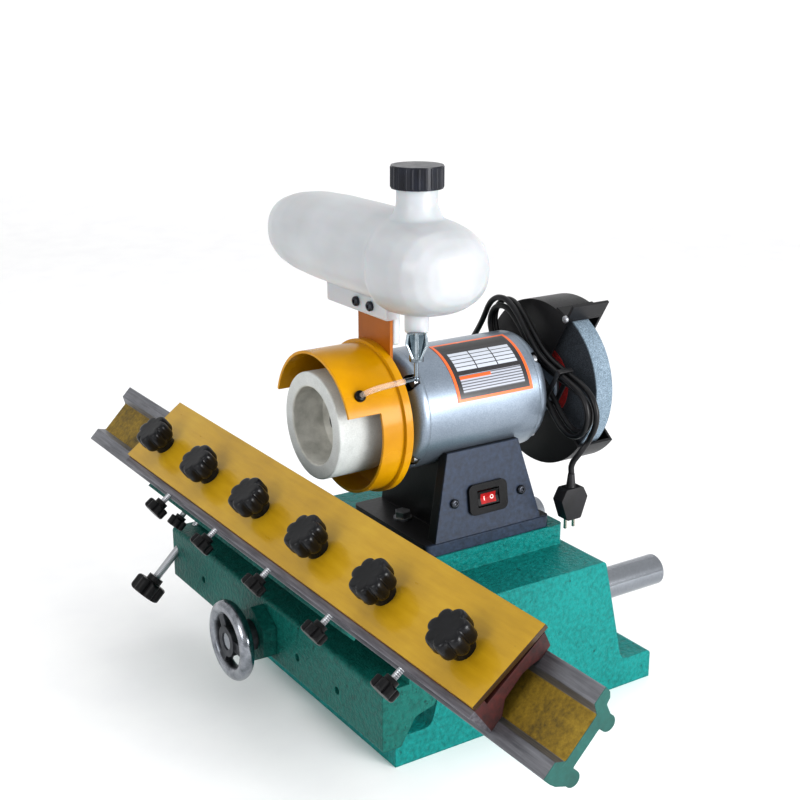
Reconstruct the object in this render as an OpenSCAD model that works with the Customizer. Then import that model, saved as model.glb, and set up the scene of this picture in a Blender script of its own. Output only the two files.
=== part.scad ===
// Planer knife grinder: a bench grinder with a cup wheel on a cast base, and a long
// tilting knife table that slides past the wheel on a cross-feed beam.
// +X runs along the spindle away from the cup wheel, +Y along the knife, +Z up.
// The origin is on the ground, at the centre of the four foot bolts.

/* [Base casting] */
// Width of the foot, along the spindle
base_w = 290; // [270:1:320]
// Length of the foot, along the knife
base_l = 276; // [264:1:320]
// Height of the foot flange
foot_h = 28; // [20:1:40]
// Height of the body's top face
body_h = 135; // [125:1:150]
// Width of the body at its top
body_top_w = 166; // [150:1:176]
// Width of the body where it meets the foot
body_foot_w = 216; // [196:1:224]
// Wall of the casting
base_wall = 12; // [8:1:16]
// Height of the raised motor pad
pad_h = 20; // [12:1:30]
// Diameter of the foot bolt holes
foot_hole_d = 13; // [9:0.5:16]
// Distance of the foot bolt holes from the foot's long edges
foot_hole_in = 14; // [12:1:18]
// Distance of the foot bolt holes from the foot's ends
foot_hole_end = 78; // [70:1:90]

/* [Cross feed] */
// Diameter of the two guide bars
bar_d = 30; // [24:1:34]
// Distance of the guide bars from the base's ends
bar_in = 46; // [44:1:54]
// Height of the guide bars and the feed screw
bar_z = 84; // [80:1:90]
// How far the guide bars stand out behind the body at rest
bar_out = 95; // [60:1:110]
// Length of the beam along the knife
beam_l = 366; // [340:1:400]
// Height of the beam's front face
beam_h = 53; // [50:1:56]
// Depth of the beam's top
beam_t = 50; // [46:1:54]
// Gap between the beam's back edge and the middle of the base at rest
beam_back = 145; // [140:1:160]
// Diameter of the feed screw
screw_d = 16; // [12:1:20]
// Diameter of the handwheel
handwheel_d = 73; // [64:1:90]
// Travel of the beam away from the wheel
feed_out = 35; // [10:1:40]

/* [Tilting table] */
// Tilt of the knife table at rest
tilt = 46; // [40:1:50]
// Diameter of the tilt shaft
tilt_shaft_d = 12; // [10:1:14]
// Height of the table's lower top edge above the tilt shaft
table_rise = 55; // [52:1:62]
// Distance of the table's lower top edge in front of the tilt shaft
table_front = 77; // [72:1:84]
// Width of the table between its outer top edges
table_w = 67; // [64:1:72]
// Length of the table
table_l = 746; // [700:1:800]
// Offset of the table's middle along the knife at rest
table_y = -65; // [-120:1:60]
// Width of each machined top face
rail_w = 12.5; // [10:0.5:15]
// Depth of the channel between the machined faces
channel_d = 7.5; // [6:0.5:10]
// Thickness of the web under the channel
web_t = 8.8; // [7:0.1:10]
// Diameter of the round slide ribs under the table
rib_d = 11.6; // [10:0.1:13]

/* [Knife clamp] */
// Length of the clamp
clamp_l = 557; // [520:1:600]
// Offset of the clamp's middle along the knife at rest
clamp_y = -103.5; // [-140:0.5:0]
// Width of the clamp's top plate
plate_w = 70; // [64:1:76]
// Thickness of the clamp's top plate
plate_t = 3.5; // [2:0.5:6]
// Height of the top plate above the table
plate_q = 26.8; // [25:0.1:30]
// Slope of the clamp on the table
clamp_slope = 9.5; // [6:0.5:11]
// Distance between the star knobs
knob_pitch = 95; // [80:1:100]
// Diameter of the star knobs
knob_d = 33; // [30:1:38]
// Diameter of the clamp studs
stud_d = 10; // [8:1:12]
// Diameter of the knife adjusters
adjuster_d = 5; // [4:0.5:6]
// Diameter of the adjuster knobs
adjuster_knob_d = 21; // [16:1:24]

/* [Bench grinder] */
// Height of the spindle above the motor pad
spindle_h = 120; // [116:1:130]
// Offset of the motor's middle along the spindle
motor_x = -7; // [-12:1:0]
// Offset of the spindle along the knife
motor_y = -20; // [-30:1:0]
// Diameter of the motor barrel
barrel_d = 108; // [104:1:112]
// Length of the motor barrel
barrel_l = 120; // [110:1:126]
// Length of each end bell
bell_l = 12; // [10:1:16]
// Diameter of the spindle in its bearings
spindle_d = 20; // [17:1:22]
// Diameter of the spindle at the wheels
arbor_d = 16; // [12:1:17]

/* [Wheels and guards] */
// Diameter of the cup wheel
cup_d = 94; // [84:1:100]
// Length of the cup wheel
cup_l = 50; // [40:1:54]
// Wall of the cup wheel
cup_wall = 13; // [10:1:18]
// Diameter of the grinding wheel
wheel_d = 148; // [130:1:150]
// Width of the grinding wheel
wheel_w = 19; // [16:1:22]
// Outer diameter of the cup guard
cup_guard_d = 130; // [124:1:138]
// Length of the cup guard's hood
hood_l = 59; // [50:1:66]
// Outer diameter of the grinding wheel guard
wheel_guard_d = 158; // [156:1:166]
// Sheet thickness of the guards
sheet_t = 2.5; // [2:0.5:3]

/* [Water tank] */
// Width of the tank's bulb over the drain
tank_w = 100; // [90:1:104]
// Width of the tank's barrel
tank_low_w = 84; // [70:1:88]
// Height of the tank's bulb
tank_h = 80; // [79:1:88]
// Height of the tank's barrel
tank_low_h = 78; // [70:1:78]
// Length of the tank
tank_l = 280; // [260:1:290]
// Wall of the tank
tank_wall = 2.5; // [2:0.5:4]
// Height of the tank's top above the spindle
tank_rise = 187; // [182:1:195]
// Diameter of the filler neck
neck_d = 33.5; // [28:0.5:36]
// Diameter of the filler cap
cap_d = 43; // [41:0.5:50]

/* [Power cord] */
// Diameter of the cord
cord_d = 5.5; // [5:0.1:6]
// Radius of the folds of the tied hank
hank_fold_r = 16.5; // [15:0.5:20]

/* [Hidden] */
$fn = 64;

// Radial running clearance of a shaft in its bore
run_fit = 0.05;
// Gap kept between neighbouring moving pieces
gap = 0.3;
// Overlap used so that cuts pass through a face
eps = 0.5;

// Outlines and placing

function unit(v) = v / norm(v);

// Arc of n steps that rounds corner b of the path a, b, c with radius r
function corner_arc(a, b, c, r, n) =
    let (
        u = unit(a - b),
        v = unit(c - b),
        half = acos(u * v) / 2,
        o = b + unit(u + v) * r / sin(half),
        p = b + u * r / tan(half),
        start = atan2(p.y - o.y, p.x - o.x),
        turn = (180 - 2 * half) * sign(cross(b - a, c - b))
    )
    [for (i = [0:n]) o + r * [cos(start + turn * i / n), sin(start + turn * i / n)]];

// Outline with each corner rounded by its own radius
function rounded(pts, radii, n = 4) =
    let (m = len(pts))
    [for (i = [0:m - 1])
        each radii[i] > 0
            ? corner_arc(pts[(i + m - 1) % m], pts[i], pts[(i + 1) % m], radii[i], n)
            : [pts[i]]];

// Outline in X and Z drawn out along Y
module along_y(y0, y1) {
    translate([0, y1, 0]) rotate([90, 0, 0]) linear_extrude(y1 - y0) children();
}

// Outline in Y and Z drawn out along X
module along_x(x0, x1) {
    translate([x0, 0, 0]) rotate([90, 0, 90]) linear_extrude(x1 - x0) children();
}

// Rod along X
module rod_x(x0, x1, d, y = 0, z = 0) {
    translate([x0, y, z]) rotate([0, 90, 0]) cylinder(h = x1 - x0, d = d);
}

// Rod along Y
module rod_y(y0, y1, d, x = 0, z = 0) {
    translate([x, y1, z]) rotate([90, 0, 0]) cylinder(h = y1 - y0, d = d);
}

// Ring along X
module ring_x(x0, x1, d_out, d_in, y = 0, z = 0) {
    difference() {
        rod_x(x0, x1, d_out, y, z);
        rod_x(x0 - eps, x1 + eps, d_in, y, z);
    }
}

// Rectangle with true round corners
module round_rect(w, l, r) {
    square([w - 2 * r, l], center = true);
    square([w, l - 2 * r], center = true);
    for (i = [-1, 1], j = [-1, 1]) translate([i * (w / 2 - r), j * (l / 2 - r)]) circle(r);
}

// Closed tube body through rings of points, each ring with the same count
module skin(rings) {
    m = len(rings);
    k = len(rings[0]);
    polyhedron(
        points = [for (r = rings) each r],
        faces = concat(
            [[for (j = [0:k - 1]) j]],
            [for (i = [0:m - 2], j = [0:k - 1])
                let (a = i * k + j, b = i * k + (j + 1) % k) each [[a, a + k, b], [b, a + k, b + k]]],
            [[for (j = [k - 1:-1:0]) (m - 1) * k + j]]));
}

// Ring of a tube round point p with direction t
function tube_ring(p, t, r, k, up) =
    let (e = unit(cross(up, t)), f = cross(unit(t), e))
    [for (j = [0:k - 1]) p + r * (cos(360 * j / k) * e + sin(360 * j / k) * f)];

// Rings of a tube that follows the points of a path
function tube_rings(pts, r, k, up) =
    let (m = len(pts))
    [for (i = [0:m - 1])
        let (t = pts[min(i + 1, m - 1)] - pts[max(i - 1, 0)]) tube_ring(pts[i], t, r, k, up)];

// Point of a smooth curve through a path's points, at step u of segment i
function spline_at(p, i, u) =
    let (
        m = len(p) - 1,
        a = p[max(i - 1, 0)],
        b = p[i],
        c = p[min(i + 1, m)],
        d = p[min(i + 2, m)]
    )
    0.5 * (2 * b + (c - a) * u + (2 * a - 5 * b + 4 * c - d) * u * u
        + (3 * b - a - 3 * c + d) * u * u * u);

// Path refined to n steps between its points
function smooth(p, n) =
    concat([for (i = [0:len(p) - 2], u = [0:n - 1]) spline_at(p, i, u / n)], [p[len(p) - 1]]);

// Derived places of the grinder

pad_top = body_h + pad_h;
spindle_z = pad_top + spindle_h;
barrel_x0 = motor_x - barrel_l / 2;
barrel_x1 = motor_x + barrel_l / 2;
bell_x0 = barrel_x0 - bell_l;
bell_x1 = barrel_x1 + bell_l;
bell_boss_d = 56;
bell_boss_l = 15;
bell_neck_d = 30;
bell_neck_l = 27;
bell_lip_d = 60;
bell_lip_t = 3;
cup_guard_x = bell_x0 - bell_boss_l;
cup_back_gap = 7;
cup_x1 = cup_guard_x - sheet_t - cup_back_gap;
cup_x0 = cup_x1 - cup_l;
cup_floor = 14;
wheel_guard_x = bell_x1 + bell_neck_l;
flange_t = 5;
flange_gap = 1.5;
blotter_t = 1;
wheel_x0 = wheel_guard_x + sheet_t + flange_gap + flange_t + blotter_t;
wheel_x1 = wheel_x0 + wheel_w;
nut_l = 10;
cover_x = wheel_x1 + blotter_t + flange_t + 5;
cover_dish_d = 70;
cover_dish_l = 14;

module at_spindle() {
    translate([0, motor_y, spindle_z]) children();
}

// Base casting: a hollow trapezoid body on a foot flange, with the motor pad on top

body_slope = (body_foot_w - body_top_w) / 2 / (body_h - foot_h);
function body_half(z) = body_foot_w / 2 - body_slope * (z - foot_h);
foot_fillet = 10;
bar_pitch = base_l - 2 * bar_in;
pad_w = body_top_w - 12;
pad_l = 128;
foot_hole_x = base_w / 2 - foot_hole_in;
foot_hole_y = base_l / 2 - foot_hole_end;
bush_wall = 5;
bush_l = 36;
bush_d = bar_d + 2 * bush_wall;
bush_out = body_half(bar_z + bush_d / 2);
bar_hole_d = bar_d + 3;
boss_d = bush_d + 14;
nut_d = 30;
nut_flange_d = 46;
nut_flange_t = 6;
nut_len = 40;
nut_boss_d = nut_flange_d + 8;
nut_face = body_half(bar_z - nut_boss_d / 2) + 1;
stand_bolt_d = 8;
stand_bolt_x = 49;
stand_bolt_y = 7;
stand_bolt_head_d = 17;

module base_section() {
    polygon(rounded(
        [[-base_w / 2, 0], [base_w / 2, 0], [base_w / 2, foot_h], [body_foot_w / 2, foot_h],
         [body_top_w / 2, body_h], [-body_top_w / 2, body_h], [-body_foot_w / 2, foot_h],
         [-base_w / 2, foot_h]],
        [0, 0, 4, foot_fillet, 5, 5, foot_fillet, 4]));
}

module base_hollow() {
    low_half = body_half(-eps) - base_wall;
    high_half = body_half(body_h - base_wall) - base_wall;
    polygon([[-low_half, -eps], [low_half, -eps], [high_half, body_h - base_wall],
        [-high_half, body_h - base_wall]]);
}

module base_casting() {
    color("mediumturquoise")
    difference() {
        union() {
            difference() {
                along_y(-base_l / 2, base_l / 2) base_section();
                along_y(-base_l / 2 + base_wall, base_l / 2 - base_wall) base_hollow();
            }
            translate([0, motor_y, body_h - base_wall / 2]) linear_extrude(pad_h + base_wall / 2)
                round_rect(pad_w, pad_l, 6);
            intersection() {
                along_y(-base_l / 2, base_l / 2) base_section();
                for (s = [0, 180], y = [-1, 1])
                    rotate(s) rod_x(bush_out - bush_l, base_w / 2, boss_d, y * bar_pitch / 2, bar_z);
            }
            rod_x(-nut_face, bush_l - nut_face, nut_boss_d, 0, bar_z);
        }
        for (s = [0, 180], y = [-1, 1])
            rotate(s) {
                rod_x(bush_out - bush_l - eps, bush_out, bush_d, y * bar_pitch / 2, bar_z);
                rod_x(bush_out - eps, base_w / 2, bar_hole_d, y * bar_pitch / 2, bar_z);
            }
        rod_x(-nut_face - eps, bush_l - nut_face + eps, nut_d, 0, bar_z);
        for (x = [-1, 1], y = [-1, 1])
            translate([x * foot_hole_x, y * foot_hole_y, -eps])
                cylinder(h = foot_h + 2 * eps, d = foot_hole_d);
        for (x = [-1, 1])
            translate([motor_x + x * stand_bolt_x, motor_y + stand_bolt_y, body_h - base_wall - eps])
                cylinder(h = base_wall + pad_h + 2 * eps, d = stand_bolt_d);
    }
}

module bar_bushes() {
    color("darkgoldenrod")
    for (s = [0, 180], y = [-1, 1])
        rotate(s) ring_x(bush_out - bush_l, bush_out, bush_d, bar_d + 2 * run_fit, y * bar_pitch / 2, bar_z);
}

// Bronze nut of the feed screw, held by its flange on the beam side of the body
module feed_nut() {
    color("peru")
    difference() {
        union() {
            rod_x(-nut_face, nut_len - nut_face, nut_d, 0, bar_z);
            rod_x(-nut_face - nut_flange_t, -nut_face, nut_flange_d, 0, bar_z);
        }
        rod_x(-nut_face - nut_flange_t - eps, nut_len - nut_face + eps, screw_d + 2 * run_fit, 0, bar_z);
    }
}

// Motor stand: a tapered hollow pedestal on a bolted foot, saddled to the barrel

stand_foot_w = 138;
stand_foot_h = 11;
stand_bottom_w = 123;
stand_top_w = 78;
stand_bottom_l = pad_l - 4;
stand_top_l = 98;
stand_h = 88;
stand_wall = 7;
stand_core_w = 76;
panel_t = 12;
stand_lean = (stand_bottom_l - stand_top_l) / 2 / stand_h;
stand_face_tilt = atan(stand_lean);
switch_z = pad_top + 42;
switch_w = 42;
switch_h = 28;
switch_lip = 4;
rocker_w = 23;
rocker_h = 15;
rocker_pin_d = 2;
rocker_pin_z = -3;
rocker_pin_in = 4;
bezel_t = 3;
bezel_d = 12;

// Pedestal form with the given widths at its foot and top, drawn in along the knife by inset
module stand_form(foot_w, top_w, inset) {
    intersection() {
        along_y(motor_y - stand_bottom_l / 2, motor_y + stand_bottom_l / 2)
            polygon([
                [motor_x - foot_w / 2, pad_top], [motor_x + foot_w / 2, pad_top],
                [motor_x + top_w / 2, pad_top + stand_h], [motor_x - top_w / 2, pad_top + stand_h]]);
        along_x(motor_x - foot_w / 2, motor_x + foot_w / 2)
            polygon([
                [motor_y - stand_bottom_l / 2 + inset, pad_top],
                [motor_y + stand_bottom_l / 2 - inset, pad_top],
                [motor_y + stand_top_l / 2 - inset, pad_top + stand_h],
                [motor_y - stand_top_l / 2 + inset, pad_top + stand_h]]);
    }
}

// Room behind the flared front panel
module stand_back() {
    along_x(motor_x - stand_foot_w, motor_x + stand_foot_w)
        polygon([
            [motor_y - stand_bottom_l / 2 + panel_t, pad_top - eps],
            [motor_y + stand_bottom_l, pad_top - eps],
            [motor_y + stand_bottom_l, pad_top + stand_h + eps],
            [motor_y - stand_top_l / 2 + panel_t, pad_top + stand_h + eps]]);
}

// Frame on the sloping front face of the stand, with +Z out of the face and +Y up it
module at_switch() {
    translate([motor_x, motor_y - stand_bottom_l / 2 + stand_lean * (switch_z - pad_top), switch_z])
        rotate([90 - stand_face_tilt, 0, 0]) children();
}

module motor_stand() {
    hollow_w = stand_core_w - 2 * stand_wall;
    color("slategray")
    difference() {
        union() {
            difference() {
                stand_form(stand_bottom_w, stand_top_w, 0);
                stand_back();
            }
            stand_form(stand_core_w, stand_core_w, 0);
            translate([motor_x, motor_y, pad_top]) linear_extrude(stand_foot_h)
                round_rect(stand_foot_w, stand_bottom_l, 6);
        }
        difference() {
            translate([0, 0, -eps]) stand_form(hollow_w, hollow_w, stand_wall);
            at_spindle() rod_x(barrel_x0, barrel_x1, barrel_d + 2 * stand_wall);
        }
        at_spindle() rod_x(barrel_x0, barrel_x1, barrel_d);
        at_switch() translate([0, 0, -bezel_d - eps]) linear_extrude(2 * bezel_d)
            square([switch_w - 2 * switch_lip, switch_h - 2 * switch_lip], center = true);
        for (x = [-1, 1])
            translate([motor_x + x * stand_bolt_x, motor_y + stand_bolt_y, pad_top - eps])
                cylinder(h = stand_foot_h + 2 * eps, d = stand_bolt_d);
        rod_y(motor_y, motor_y + stand_bottom_l, gland_d, gland_x, gland_z);
    }
}

module stand_bolts() {
    washer_t = 1.5;
    head_t = 5.5;
    color("dimgray")
    for (x = [-1, 1])
        translate([motor_x + x * stand_bolt_x, motor_y + stand_bolt_y, body_h - base_wall]) {
            cylinder(h = base_wall + pad_h + stand_foot_h, d = stand_bolt_d);
            translate([0, 0, base_wall + pad_h + stand_foot_h]) {
                cylinder(h = washer_t, d = stand_bolt_head_d);
                translate([0, 0, washer_t]) cylinder(h = head_t, d = stand_bolt_head_d - 2, $fn = 6);
            }
        }
}

module switch_bezel() {
    color("black")
    at_switch()
    difference() {
        union() {
            linear_extrude(bezel_t) round_rect(switch_w, switch_h, 6);
            translate([0, 0, -bezel_d]) linear_extrude(bezel_d)
                square([switch_w - 2 * switch_lip - gap, switch_h - 2 * switch_lip - gap], center = true);
        }
        translate([0, 0, -bezel_d + 3]) linear_extrude(2 * bezel_d)
            square([rocker_w + 2 * gap, rocker_h + 2 * gap], center = true);
        translate([-rocker_w / 2 - rocker_pin_in - gap, 0, rocker_pin_z]) rotate([0, 90, 0])
            cylinder(h = rocker_w + 2 * rocker_pin_in + 2 * gap, d = rocker_pin_d + 2 * run_fit);
    }
}

// Rocker on its own pin, with two sloping faces
module switch_rocker() {
    tip = rocker_h / 2 - 1;
    color("red")
    at_switch() {
        translate([-rocker_w / 2, 0, 0]) rotate([90, 0, 90]) linear_extrude(rocker_w)
            polygon([[-5, -5], [5, -5], [tip, bezel_t], [0, bezel_t - 1.5], [-tip, bezel_t]]);
        translate([-rocker_w / 2 - rocker_pin_in, 0, rocker_pin_z]) rotate([0, 90, 0])
            cylinder(h = rocker_w + 2 * rocker_pin_in, d = rocker_pin_d);
    }
}

// Bench grinder motor

barrel_wall = 2.5;
tie_d = 5;
tie_head_d = 9;
tie_notch_d = 14;
tie_r = barrel_d / 2 - barrel_wall - tie_d / 2 - 0.5;
tie_sink = 9;
tie_angles = [45, 135, 225, 315];
bearing_d = 42;
bearing_w = 12;
bearing_seat = 6;
rotor_d = 56;
rotor_l = 66;
air_gap = 0.5;
winding_l = 18;

module motor_barrel() {
    color("silver")
    at_spindle() ring_x(barrel_x0, barrel_x1, barrel_d, barrel_d - 2 * barrel_wall);
}

// End bell turned about the spindle, with its bearing seat, its mounting boss and the bolt notches
module end_bell(neck_d, neck_l) {
    rim = barrel_d / 2;
    seat_r = bearing_d / 2;
    hole_r = spindle_d / 2 + 2;
    face = bell_l + neck_l;
    rotate([0, 90, 0])
    difference() {
        rotate_extrude($fn = 96)
            polygon(concat(
                [[hole_r, 0], [hole_r, face], [bell_lip_d / 2, face], [bell_lip_d / 2, face - bell_lip_t],
                 [neck_d / 2, face - bell_lip_t], [neck_d / 2, bell_l]],
                corner_arc([neck_d / 2, bell_l], [rim, bell_l], [rim, 0], bell_l - 2, 8),
                [[rim, 0], [seat_r + bearing_seat, 0], [seat_r + bearing_seat, -bearing_w],
                 [seat_r, -bearing_w], [seat_r, 0]]));
        for (a = tie_angles)
            rotate(a) translate([tie_r, 0, -eps]) {
                cylinder(h = bell_l + 2 * eps, d = tie_d);
                translate([0, 0, bell_l - tie_sink]) cylinder(h = bell_l, d = tie_notch_d);
            }
    }
}

module end_bell_left() {
    color("silver")
    at_spindle() translate([barrel_x0, 0, 0]) mirror([1, 0, 0]) end_bell(bell_boss_d, bell_boss_l);
}

module end_bell_right() {
    color("silver")
    at_spindle() translate([barrel_x1, 0, 0]) end_bell(bell_neck_d, bell_neck_l);
}

// Laminated core with its two end windings
module stator() {
    core_l = rotor_l - 2;
    winding_d = 2 * (tie_r - tie_d / 2 - 2);
    color("saddlebrown")
    at_spindle()
    difference() {
        union() {
            ring_x(motor_x - core_l / 2, motor_x + core_l / 2,
                barrel_d - 2 * barrel_wall, rotor_d + 2 * air_gap);
            ring_x(motor_x - core_l / 2 - winding_l, motor_x + core_l / 2 + winding_l,
                winding_d, rotor_d + 12);
        }
        for (a = tie_angles)
            rotate([a, 0, 0]) rod_x(barrel_x0, barrel_x1, tie_d + 2, 0, tie_r);
    }
}

module motor_bearings() {
    color("gainsboro")
    at_spindle() {
        ring_x(barrel_x0, barrel_x0 + bearing_w, bearing_d, spindle_d + 2 * run_fit);
        ring_x(barrel_x1 - bearing_w, barrel_x1, bearing_d, spindle_d + 2 * run_fit);
    }
}

module tie_bolts() {
    head_l = 4;
    color("dimgray")
    at_spindle()
    for (a = tie_angles)
        rotate([a, 0, 0]) translate([0, 0, tie_r]) {
            rod_x(bell_x0 + tie_sink, bell_x1 - tie_sink, tie_d);
            rod_x(bell_x0 + tie_sink - head_l, bell_x0 + tie_sink, tie_head_d);
            rod_x(bell_x1 - tie_sink, bell_x1 - tie_sink + head_l, tie_head_d);
        }
}

// Spindle assembly

cup_nut_x = cup_x1 - cup_floor;
wheel_nut_x = wheel_x1 + blotter_t + flange_t;
wheel_flange_d = 52;
blotter_d = wheel_flange_d + 16;
arbor_end = 4;

module spindle_shaft() {
    color("lightsteelblue")
    at_spindle() {
        rod_x(cup_x1 + flange_t, wheel_x0 - blotter_t - flange_t, spindle_d);
        rod_x(cup_nut_x - nut_l - arbor_end, cup_x1 + flange_t, arbor_d);
        rod_x(wheel_x0 - blotter_t - flange_t, wheel_nut_x + nut_l + arbor_end, arbor_d);
    }
}

module rotor_core() {
    color("gray")
    at_spindle() ring_x(motor_x - rotor_l / 2, motor_x + rotor_l / 2, rotor_d, spindle_d);
}

module cup_wheel() {
    inner = cup_d / 2 - cup_wall;
    web = cup_x1 - cup_floor;
    color("whitesmoke")
    at_spindle() rotate([0, 90, 0])
    rotate_extrude($fn = 96)
        polygon(rounded(
            [[arbor_d / 2, web], [inner - 6, web], [inner, web - 6], [inner, cup_x0],
             [cup_d / 2, cup_x0], [cup_d / 2, cup_x1], [arbor_d / 2, cup_x1]],
            [0, 0, 0, 1.5, 1.5, 2, 0]));
}

module grinding_wheel() {
    color("lightsteelblue")
    at_spindle() ring_x(wheel_x0, wheel_x1, wheel_d, arbor_d, $fn = 128);
}

module wheel_flanges() {
    color("dimgray")
    at_spindle() {
        ring_x(cup_x1, cup_x1 + flange_t, wheel_flange_d, arbor_d);
        ring_x(wheel_x0 - blotter_t - flange_t, wheel_x0 - blotter_t, wheel_flange_d, arbor_d);
        ring_x(wheel_x1 + blotter_t, wheel_x1 + blotter_t + flange_t, wheel_flange_d, arbor_d);
    }
}

module wheel_blotters() {
    color("firebrick")
    at_spindle() {
        ring_x(wheel_x0 - blotter_t, wheel_x0, blotter_d, arbor_d);
        ring_x(wheel_x1, wheel_x1 + blotter_t, blotter_d, arbor_d);
    }
}

module hex_nut_x(x0, across, l, bore) {
    difference() {
        translate([x0, 0, 0]) rotate([0, 90, 0]) cylinder(h = l, d = across / cos(30), $fn = 6);
        rod_x(x0 - eps, x0 + l + eps, bore);
    }
}

module spindle_nuts() {
    nut_across = 24;
    color("gray")
    at_spindle() {
        hex_nut_x(cup_nut_x - nut_l, nut_across, nut_l, arbor_d);
        hex_nut_x(wheel_nut_x, nut_across, nut_l, arbor_d);
    }
}

// Guards

hood_angles = [20, 164];
hood_hole_angle = 35;
hood_hole_x = cup_guard_x - 44;
guard_band_l = 28;
guard_rim_t = 3;
guard_rim_l = 7;
guard_bore_d = spindle_d + 16;
guard_opening = [-38, 59];
hose_d = 5;

// Pie slice of the plane across the spindle, from angle a0 to a1 above the near side
module pie(r, a0, a1) {
    steps = 12;
    polygon(concat([[0, 0]],
        [for (i = [0:steps]) let (a = a0 + (a1 - a0) * i / steps) r * [-cos(a), sin(a)]]));
}

// Sheet guard of the cup wheel: back dish, round band and half hood
module cup_guard() {
    inner_d = cup_guard_d - 2 * sheet_t;
    color("orange")
    at_spindle()
    difference() {
        union() {
            ring_x(cup_guard_x - sheet_t, cup_guard_x, cup_guard_d, guard_bore_d);
            ring_x(cup_guard_x - guard_rim_l, cup_guard_x, cup_guard_d + 2 * guard_rim_t, inner_d);
            ring_x(cup_guard_x - guard_band_l, cup_guard_x - sheet_t, cup_guard_d, inner_d);
            intersection() {
                ring_x(cup_guard_x - hood_l, cup_guard_x - sheet_t, cup_guard_d, inner_d);
                along_x(cup_guard_x - hood_l - eps, cup_guard_x)
                    pie(cup_guard_d, hood_angles[0], hood_angles[1]);
            }
        }
        rotate([-hood_hole_angle, 0, 0])
            rod_y(-cup_guard_d / 2 - 10, -cup_guard_d / 2 + 10, hose_d + 2 * gap, hood_hole_x);
    }
}

// Sector of the wheel guards that stays open, outside a hub circle
module guard_gap(hub_d) {
    difference() {
        pie(wheel_guard_d, guard_opening[0], guard_opening[1]);
        circle(d = hub_d);
    }
}

module wheel_guard() {
    color("#222226")
    at_spindle()
    difference() {
        union() {
            ring_x(wheel_guard_x, wheel_guard_x + sheet_t, wheel_guard_d, guard_bore_d);
            ring_x(wheel_guard_x + sheet_t, cover_x, wheel_guard_d, wheel_guard_d - 2 * sheet_t);
        }
        along_x(wheel_guard_x - eps, cover_x + eps) guard_gap(bell_lip_d);
    }
}

module guard_cover() {
    color("#26262a")
    at_spindle()
    difference() {
        union() {
            rod_x(cover_x, cover_x + sheet_t, wheel_guard_d);
            rod_x(cover_x + sheet_t, cover_x + cover_dish_l, cover_dish_d);
        }
        rod_x(cover_x - eps, cover_x + cover_dish_l - sheet_t, cover_dish_d - 2 * sheet_t);
        along_x(cover_x - eps, cover_x + sheet_t + eps) guard_gap(cover_dish_d);
    }
}

// Bent plate on the upper edge of the guard's opening
module spark_arrester() {
    r = wheel_guard_d / 2;
    reach = 16;
    leg = 18;
    color("#1c1c20")
    at_spindle()
    difference() {
        rotate([-guard_opening[1], 0, 0])
            along_x(wheel_guard_x, cover_x + sheet_t)
                polygon([[-r, 0], [-r - reach, 0], [-r - reach, sheet_t], [-r - sheet_t, sheet_t],
                    [-r - sheet_t + leg * leg / 2 / r, leg], [-r + leg * leg / 2 / r, leg]]);
        rod_x(wheel_guard_x - eps, cover_x + sheet_t + eps, wheel_guard_d + 2 * gap);
    }
}

// Water tank, drain and hose

tank_x = cup_guard_x - 3;
tank_y = motor_y + 2;
tank_top = spindle_z + tank_rise;
tank_near = tank_y - tank_l / 2;
neck_y = tank_near + 62;
neck_lip = 3;
cap_h = 18;
cap_top_t = 4;
cap_z = tank_top + 21.5;
drain_d = 20;
drain_z = tank_top - tank_h - 16;
drain_bore = 8;
bracket_t = 3;
bracket_w = 51;
bracket_y = motor_y - 31;
bracket_top = tank_top - tank_low_h - 2;
ear_t = 12;
ear_w = 98;
ear_y = motor_y - 44;
ear_z = bracket_top - 13;
tongue_t = 9;
tongue_z = bracket_top - 39;

// Share of the bulb's form, from 1 at the drain to 0 along the barrel
function bulb(t) =
    let (u = min(max((0.05 - t) / 0.4, 0), 1))
    u * u * (3 - 2 * u);

// Oval ring of the tank at place t from -1 to 1 along its length, shrunk by inset
function tank_ring(t, inset) =
    let (
        b = bulb(t),
        round_end = pow(1 - pow(abs(t), 4.2), 1 / 2.6),
        h = tank_low_h + (tank_h - tank_low_h) * b,
        w = tank_w - (tank_w - tank_low_w) * (1 - b),
        rz = (h / 2 - inset) * round_end,
        rx = (w / 2 - inset) * round_end,
        n = 32
    )
    [for (j = [0:n - 1])
        let (a = -360 * j / n, c = cos(a), s = sin(a))
        [tank_x + rx * sign(c) * pow(abs(c), 0.86),
         tank_y + t * (tank_l / 2 - inset),
         tank_top - h / 2 + rz * sign(s) * pow(abs(s), 0.86)]];

tank_steps = concat(
    [-0.995, -0.97, -0.92, -0.84, -0.72, -0.55],
    [for (i = [-4:1:1]) i / 10],
    [0.35, 0.6, 0.74, 0.85, 0.92, 0.97, 0.995]);

module tank_form(inset) {
    skin([for (t = tank_steps) tank_ring(t, inset)]);
}

module water_tank() {
    neck_top = cap_z + cap_h - cap_top_t - 1;
    merge = 12;
    color("white")
    difference() {
        union() {
            tank_form(0);
            translate([tank_x, neck_y, tank_top - merge])
                cylinder(h = neck_top - tank_top + merge, d = neck_d);
            translate([tank_x, neck_y, tank_top - merge])
                cylinder(h = merge + 8, d1 = neck_d + 16, d2 = neck_d);
            translate([tank_x, neck_y, drain_z]) cylinder(h = merge + 8, d = drain_d);
            translate([cup_guard_x - ear_t, ear_y, ear_z]) cube([ear_t, ear_w, bracket_top - ear_z + merge]);
            translate([cup_guard_x + bracket_t, bracket_y, tongue_z])
                cube([tongue_t, bracket_w, bracket_top - tongue_z + merge]);
        }
        tank_form(tank_wall);
        translate([tank_x, neck_y, tank_top - 2 * merge])
            cylinder(h = 3 * merge + 40, d = neck_d - 2 * neck_lip);
        translate([tank_x, neck_y, drain_z - eps]) cylinder(h = 2 * merge, d = drain_bore);
    }
}

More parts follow.
